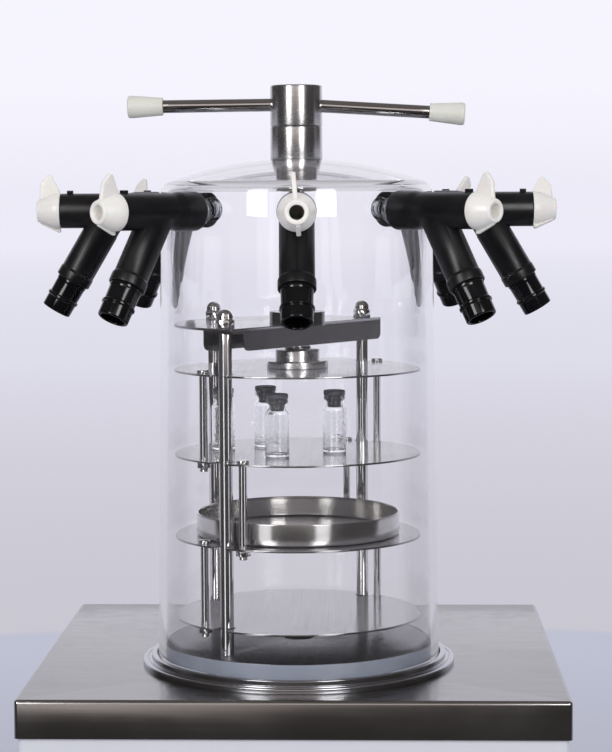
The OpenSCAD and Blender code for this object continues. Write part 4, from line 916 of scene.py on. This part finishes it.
# base that the drum stands on
base = {"ring": 127.4, "round": 1.5, "upstandIn": 116.0, "upstandOut": 120.5, "trap": 101.5,
        "trapFlange": 112.3, "flangeFoot": 1.5, "plate": 108.0, "plateThick": 2.0, "skirt": 2.0,
        "vapour": 12.0, "stud": 4.3, "studRing": 90.0, "probe": (68, -10), "probeHole": 2.5}
postAngles = [54, 144, 234]
ringTop, sealTop = above("drum_seal", 0), above("drum_seal")
upstandTop, platterTop = above("base_ring"), above("base_plate")
upstand, upstandIn, edge = base["upstandOut"], base["upstandIn"], base["plate"]
ringPiece = lathe("baseRing", rounded([
    (base["trap"], base["flangeFoot"]), (base["trapFlange"], base["flangeFoot"]), (base["trapFlange"], 0),
    (base["ring"], 0, 0.3), (base["ring"], ringTop, base["round"]), (upstand + 3.6, ringTop, 0.3),
    (upstand + 3.4, ringTop - 0.7, 0.3), (upstand + 2.5, ringTop - 0.7, 0.3), (upstand + 2.3, ringTop, 0.3),
    (upstand, ringTop, 0.5), (upstand, upstandTop, 1.0), (upstandIn, upstandTop, 0.7),
    (upstandIn, ringTop, 0.4), (base["trap"], ringTop, 0.4)]), onDeck, 192, finish="ringSteel")
standsFor(ringPiece, "base_ring")
sleeveTop = platterTop - 0.5                    # the gasket's thin sleeve stands round the plate's edge
gasket = lathe("drumSeal", rounded([
    (edge + 0.1, ringTop, 0.2), (upstandIn - 0.1, ringTop, 0.5), (upstandIn - 0.1, sealTop, 0.7),
    (edge + 0.6, sealTop, 0.4), (edge + 0.6, sleeveTop, 0.2), (edge + 0.1, sleeveTop, 0.2)], 4),
    onDeck, 160, finish="sealSilicone")
standsFor(gasket, "drum_seal")
plateFoot, skirt = platterTop - base["plateThick"], edge - base["skirt"]
platter = lathe("basePlate", rounded([
    (base["vapour"], plateFoot, 0.3), (skirt, plateFoot, 1.5), (skirt, ringTop, 0.3), (edge, ringTop, 0.3),
    (edge, platterTop, 2.4), (base["vapour"], platterTop, 0.5)], 5), onDeck, 160, finish="plateSteel")
holes = [hole(base["stud"], plateFoot - 2, platterTop + 2, onDeck @ turned(a) @ shift(base["studRing"]), 32)
         for a in postAngles]
holes.append(hole(base["probeHole"], plateFoot - 2, platterTop + 2, onDeck @ shift(*base["probe"]), 24))
cutAway(platter, holes)
standsFor(platter, "base_plate")
print("base ready")


# deck folded from one sheet
deck = {"sheet": 2.0, "fold": 3.0, "hole": 103.5}


def corners(name):                              # a node's box in millimetres
    return [[c * 1000 for c in corner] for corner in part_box(name)]


def roundedBox(name, low, high, radius):
    (x0, y0, z0), (x1, y1, z1) = low, high
    return block(name, [(x0, y0), (x1, y0), (x1, y1), (x0, y1)], z0, z1, None, radius, 4)


(x0, y0, z0), (x1, y1, z1) = corners("deck")
sheet, fold = deck["sheet"], deck["fold"]
lid = roundedBox("deckSheet", (x0, y0, z0 - 20), (x1, y1, z1), fold)
hollow = roundedBox("hollow", (x0 + sheet, y0 + sheet, z0 - 40), (x1 - sheet, y1 - sheet, z1 - sheet),
                    fold - sheet)
under = slab("under", [(x0 - 9, y0 - 9), (x1 + 9, y0 - 9), (x1 + 9, y1 + 9), (x0 - 9, y1 + 9)], z0 - 60, z0)
cutAway(lid, [hollow, under, hole(deck["hole"], -5, 5, onDeck, 128)], "deckSteel")
standsFor(lid, "deck")
print("deck ready")


# cabinet wrap, folded from one sheet
cabinet = {"sheet": 1.5, "bend": 4.0, "window": (138.0, 84.0, 5.0), "drain": 6.3, "drainBelow": 191.5,
           "louvre": {"from": 70.0, "to": 190.0, "low": 40.0, "slot": 5.0, "pitch": 14.0, "count": 9}}


def roundRect(across, along, radius, steps=6):
    x, y = across / 2, along / 2
    return rounded([(-x, -y, radius), (x, -y, radius), (x, y, radius), (-x, y, radius)], steps)


(x0, y0, z0), (x1, y1, z1) = corners("cabinet")
sheet, bend = cabinet["sheet"], cabinet["bend"]
inner = bend - sheet
outside = rounded([(x0, y1), (x0, y0, bend), (x1, y0, bend), (x1, y1)], 8)
inside = rounded([(x1 - sheet, y1), (x1 - sheet, y0 + sheet, inner), (x0 + sheet, y0 + sheet, inner),
                  (x0 + sheet, y1)], 8)
wrap = slab("cabinetWrap", outside + inside, z0, z1)
panelAt = middle("touch_panel")
forward = turned(90, "X")                       # an outline's z turns to point at the front
frontPlace = Matrix.Translation((panelAt.x, 0, panelAt.z)) @ forward
drainPlace = Matrix.Translation((drumAxis.x, 0, deckTop - cabinet["drainBelow"] * 0.001)) @ forward
tools = [slab("cut", roundRect(*cabinet["window"]), -y0 - 5, -y0 + 5, frontPlace),
         hole(cabinet["drain"], -y0 - 5, -y0 + 5, drainPlace, 32)]
slots = cabinet["louvre"]
run = slots["to"] - slots["from"]
for i in range(slots["count"]):
    rise = z0 + slots["low"] + slots["pitch"] * i + slots["slot"] / 2
    tools.append(slab("cut", roundRect(slots["slot"], run, slots["slot"] / 2 - 0.1), x0 - 5, x1 + 5,
                      shift(y=drumAxis.y * 1000 + slots["from"] + run / 2, z=rise) @ turned(90, "Y")))
cutAway(wrap, tools, "panelPaint")
addBevel(wrap, 0.35)
freeze(wrap)
even = wrap.modifiers.new("even", "WEIGHTED_NORMAL")       # keeps the wide faces flat beside the bends
even.keep_sharp = True
standsFor(wrap, "cabinet")

# touch panel
screen = {"frame": 10.0, "bezel": 3.0, "corner": 7.0, "inner": 3.0, "recess": 0.8, "box": 6.4}
panelLow, panelHigh = corners("touch_panel")
wide, tall = panelHigh[0] - panelLow[0], panelHigh[2] - panelLow[2]
face = -panelLow[1]
bezelFoot, recess = face - screen["bezel"], face - screen["recess"]
wideGlass, tallGlass = wide - 2 * screen["frame"], tall - 2 * screen["frame"]
bezel = block("touchPanel", roundRect(wide, tall, screen["corner"], 8), bezelFoot, face, frontPlace, 0.9, 4)
cutAway(bezel, [slab("cut", roundRect(wideGlass, tallGlass, screen["inner"]), recess, face + 2, frontPlace)])
back = slab("panelBox", roundRect(wide - 2 * screen["box"], tall - 2 * screen["box"], 3), -panelHigh[1],
            bezelFoot + 0.5, frontPlace)
standsFor(union("touchPanel", [bezel, back], "blackPlastic"), "touch_panel")
glass = slab("touchScreen", roundRect(wideGlass - 0.4, tallGlass - 0.4, screen["inner"] - 0.2),
             recess + 0.02, face - 0.25, frontPlace, "screenBlack", bevel=0.2)
standsFor(glass, "touch_panel")
print("cabinet ready")


# drain lever
lever = {"eye": 9.0, "half": 6.0, "length": 42.0, "thick": 4.0, "pin": 5.08, "dish": 0.8}
(x0, y0, z0), (x1, y1, z1) = corners("drain_lever")
eye, half, length, top = lever["eye"], lever["half"], lever["length"], lever["thick"]
leverPlace = shift(x1 - length, y0 + eye, z0)
blade = block("drainLever", rounded([
    (0, -eye, 8), (eye + 3, -half, 5), (length, -half, 5.9), (length, half, 5.9), (eye + 3, half, 5),
    (0, eye, 8), (-eye, eye, 8.8), (-eye, -eye, 8.8)], 8), 0, top, leverPlace, 0.8, 3)
dip = slab("cut", roundRect(length - 22, 5, 2.4), top - lever["dish"], top + 2,
           leverPlace @ shift(length / 2 + 3))
cutAway(blade, [hole(lever["pin"], -3, top + 3, leverPlace, 40), dip], "leverPlastic")
standsFor(blade, "drain_lever")
print("cabinet fittings ready")


# rack: posts, acorn nuts, hanging rods
rack = {"post": 5.25, "stud": 4.0, "inset": 10.0, "sheet": 2.0, "plateOnly": 144, "nut": 13.0,
        "nutHeight": 6.0, "acornHex": 6.5, "acorn": 14.6, "dome": 6.2, "groove": (0.3, 1.0), "above": 8.0}
hanger = {"rod": 3.25, "inset": 8.5, "head": 4.9, "headHeight": 2.5, "nut": 10.0, "nutHeight": 5.0,
          "stub": 3.0, "groove": (0.25, 0.8), "outer": [219, 44], "inner": [244.5, 64.5]}
shelfRadius, nutPlay = width("middle_shelf"), 0.06


def grooved(radius, low, high, depth, pitch):   # outline of a threaded end
    line = []
    for i in range(int((high - low) / pitch)):
        line += [(radius, low + (i + 0.15) * pitch), (radius, low + (i + 0.35) * pitch),
                 (radius - depth, low + (i + 0.65) * pitch), (radius - depth, low + (i + 0.85) * pitch)]
    return line


def gathered(name, parts, node):                # joins separate parts into one piece of a node
    finish = parts[0].data.materials[0]
    whole = joined(name, [part.data for part in parts])
    for part in parts:
        bpy.data.objects.remove(part)
    return standsFor(meshObject(name, whole, finish), node)


postLow, postHigh = above("rack_posts", 0), above("rack_posts")
tierTop = postHigh - rack["above"]              # top of the upper plate
sheet, post, stud, dome = rack["sheet"], rack["post"], rack["stud"], rack["dome"]
postFoot = postLow + rack["nutHeight"] + 2 + sheet
domeAt, boreTop = tierTop + rack["acorn"] - dome, postHigh + 0.2
posts, nuts = [], []
for angle in postAngles:
    web = tierTop - (sheet if angle == rack["plateOnly"] else 2 * sheet)
    spot = onDeck @ turned(angle) @ shift(shelfRadius - rack["inset"])
    posts.append(lathe("rackPosts", [
        (0, postLow), (stud - 0.5, postLow), *grooved(stud, postLow + 0.3, postFoot - 0.3, *rack["groove"]),
        *rounded([(stud, postFoot), (post, postFoot, 0.4), (post, web, 0.4), (stud, web)], 4),
        (stud, postHigh - 0.5), (stud - 0.5, postHigh), (0, postHigh)], spot, 56, "rackSteel"))
    hexBottom = block("acorn", hexagon(rack["nut"]), tierTop, tierTop + rack["acornHex"], spot, 0.45)
    crown = lathe("acorn", [(0, tierTop + 0.4), (dome, tierTop + 0.4)] + arcLine(0, domeAt, dome, 0, 90, 14),
                  spot, 56)
    nutFoot = postFoot - sheet - rack["nutHeight"]
    lower = block("footNut", hexagon(rack["nut"]), nutFoot, postFoot - sheet, spot, 0.45)
    acorn = union("acorn", [hexBottom, crown], "rackSteel")
    cutAway(acorn, [lathe("cut", [(0, tierTop - 1), (stud + nutPlay, tierTop - 1), (stud + nutPlay, boreTop),
                                  (0, postHigh + 1)], spot, 40)])
    cutAway(lower, [hole(stud + nutPlay, postLow - 1, postFoot + 1, spot, 40)], "rackSteel")
    nuts += [acorn, lower]
gathered("rackPosts", posts, "rack_posts")
gathered("rackNuts", nuts, "rack_nuts")

rod, head = hanger["rod"], hanger["head"]
for node, angles in (("upper_guides", "outer"), ("middle_guides", "inner"), ("lower_guides", "outer")):
    low, high = above(node, 0), above(node)
    seat, nutFoot = high - hanger["headHeight"], low + hanger["stub"]
    nutTop = nutFoot + hanger["nutHeight"]
    parts = []
    for angle in hanger[angles]:
        spot = onDeck @ turned(angle) @ shift(shelfRadius - hanger["inset"])
        parts.append(lathe("rod", [
            (0, low), (rod - 0.4, low), *grooved(rod, low + 0.2, nutTop - 1, *hanger["groove"]),
            (rod, nutTop - 1), (rod, nutTop),
            *rounded([(rod, seat), (head, seat, 0.3), (head, high, 1.0), (0, high)], 4)],
            spot, 48, "rackSteel"))
        nut = block("nut", hexagon(hanger["nut"]), nutFoot, nutTop, spot)
        cutAway(nut, [hole(rod + nutPlay, low - 1, nutTop + 1, spot, 32)], "rackSteel")
        parts.append(nut)
    gathered(node.split("_")[0] + "Hangers", parts, node)
print("rack ready")


# the sharp edges of the carried CAD nodes are rounded a little
soft = {"chassis": 0.4, "feet": 0.6, "vacuum_port": 0.5, "drain_valve": 0.5, "power_inlet": 0.5,
        "power_rocker": 0.4, "bridge": 0.35, "hub_nut": 0.5, **dict.fromkeys(
            ("top_plate", "press_plate", "upper_shelf", "middle_shelf", "lower_shelf"), 0.25)}
for name, softness in soft.items():
    weld = nodes[name].modifiers.new("weld", "WELD")
    weld.merge_threshold = 0.000002
    addBevel(nodes[name], softness)
print("edges ready")
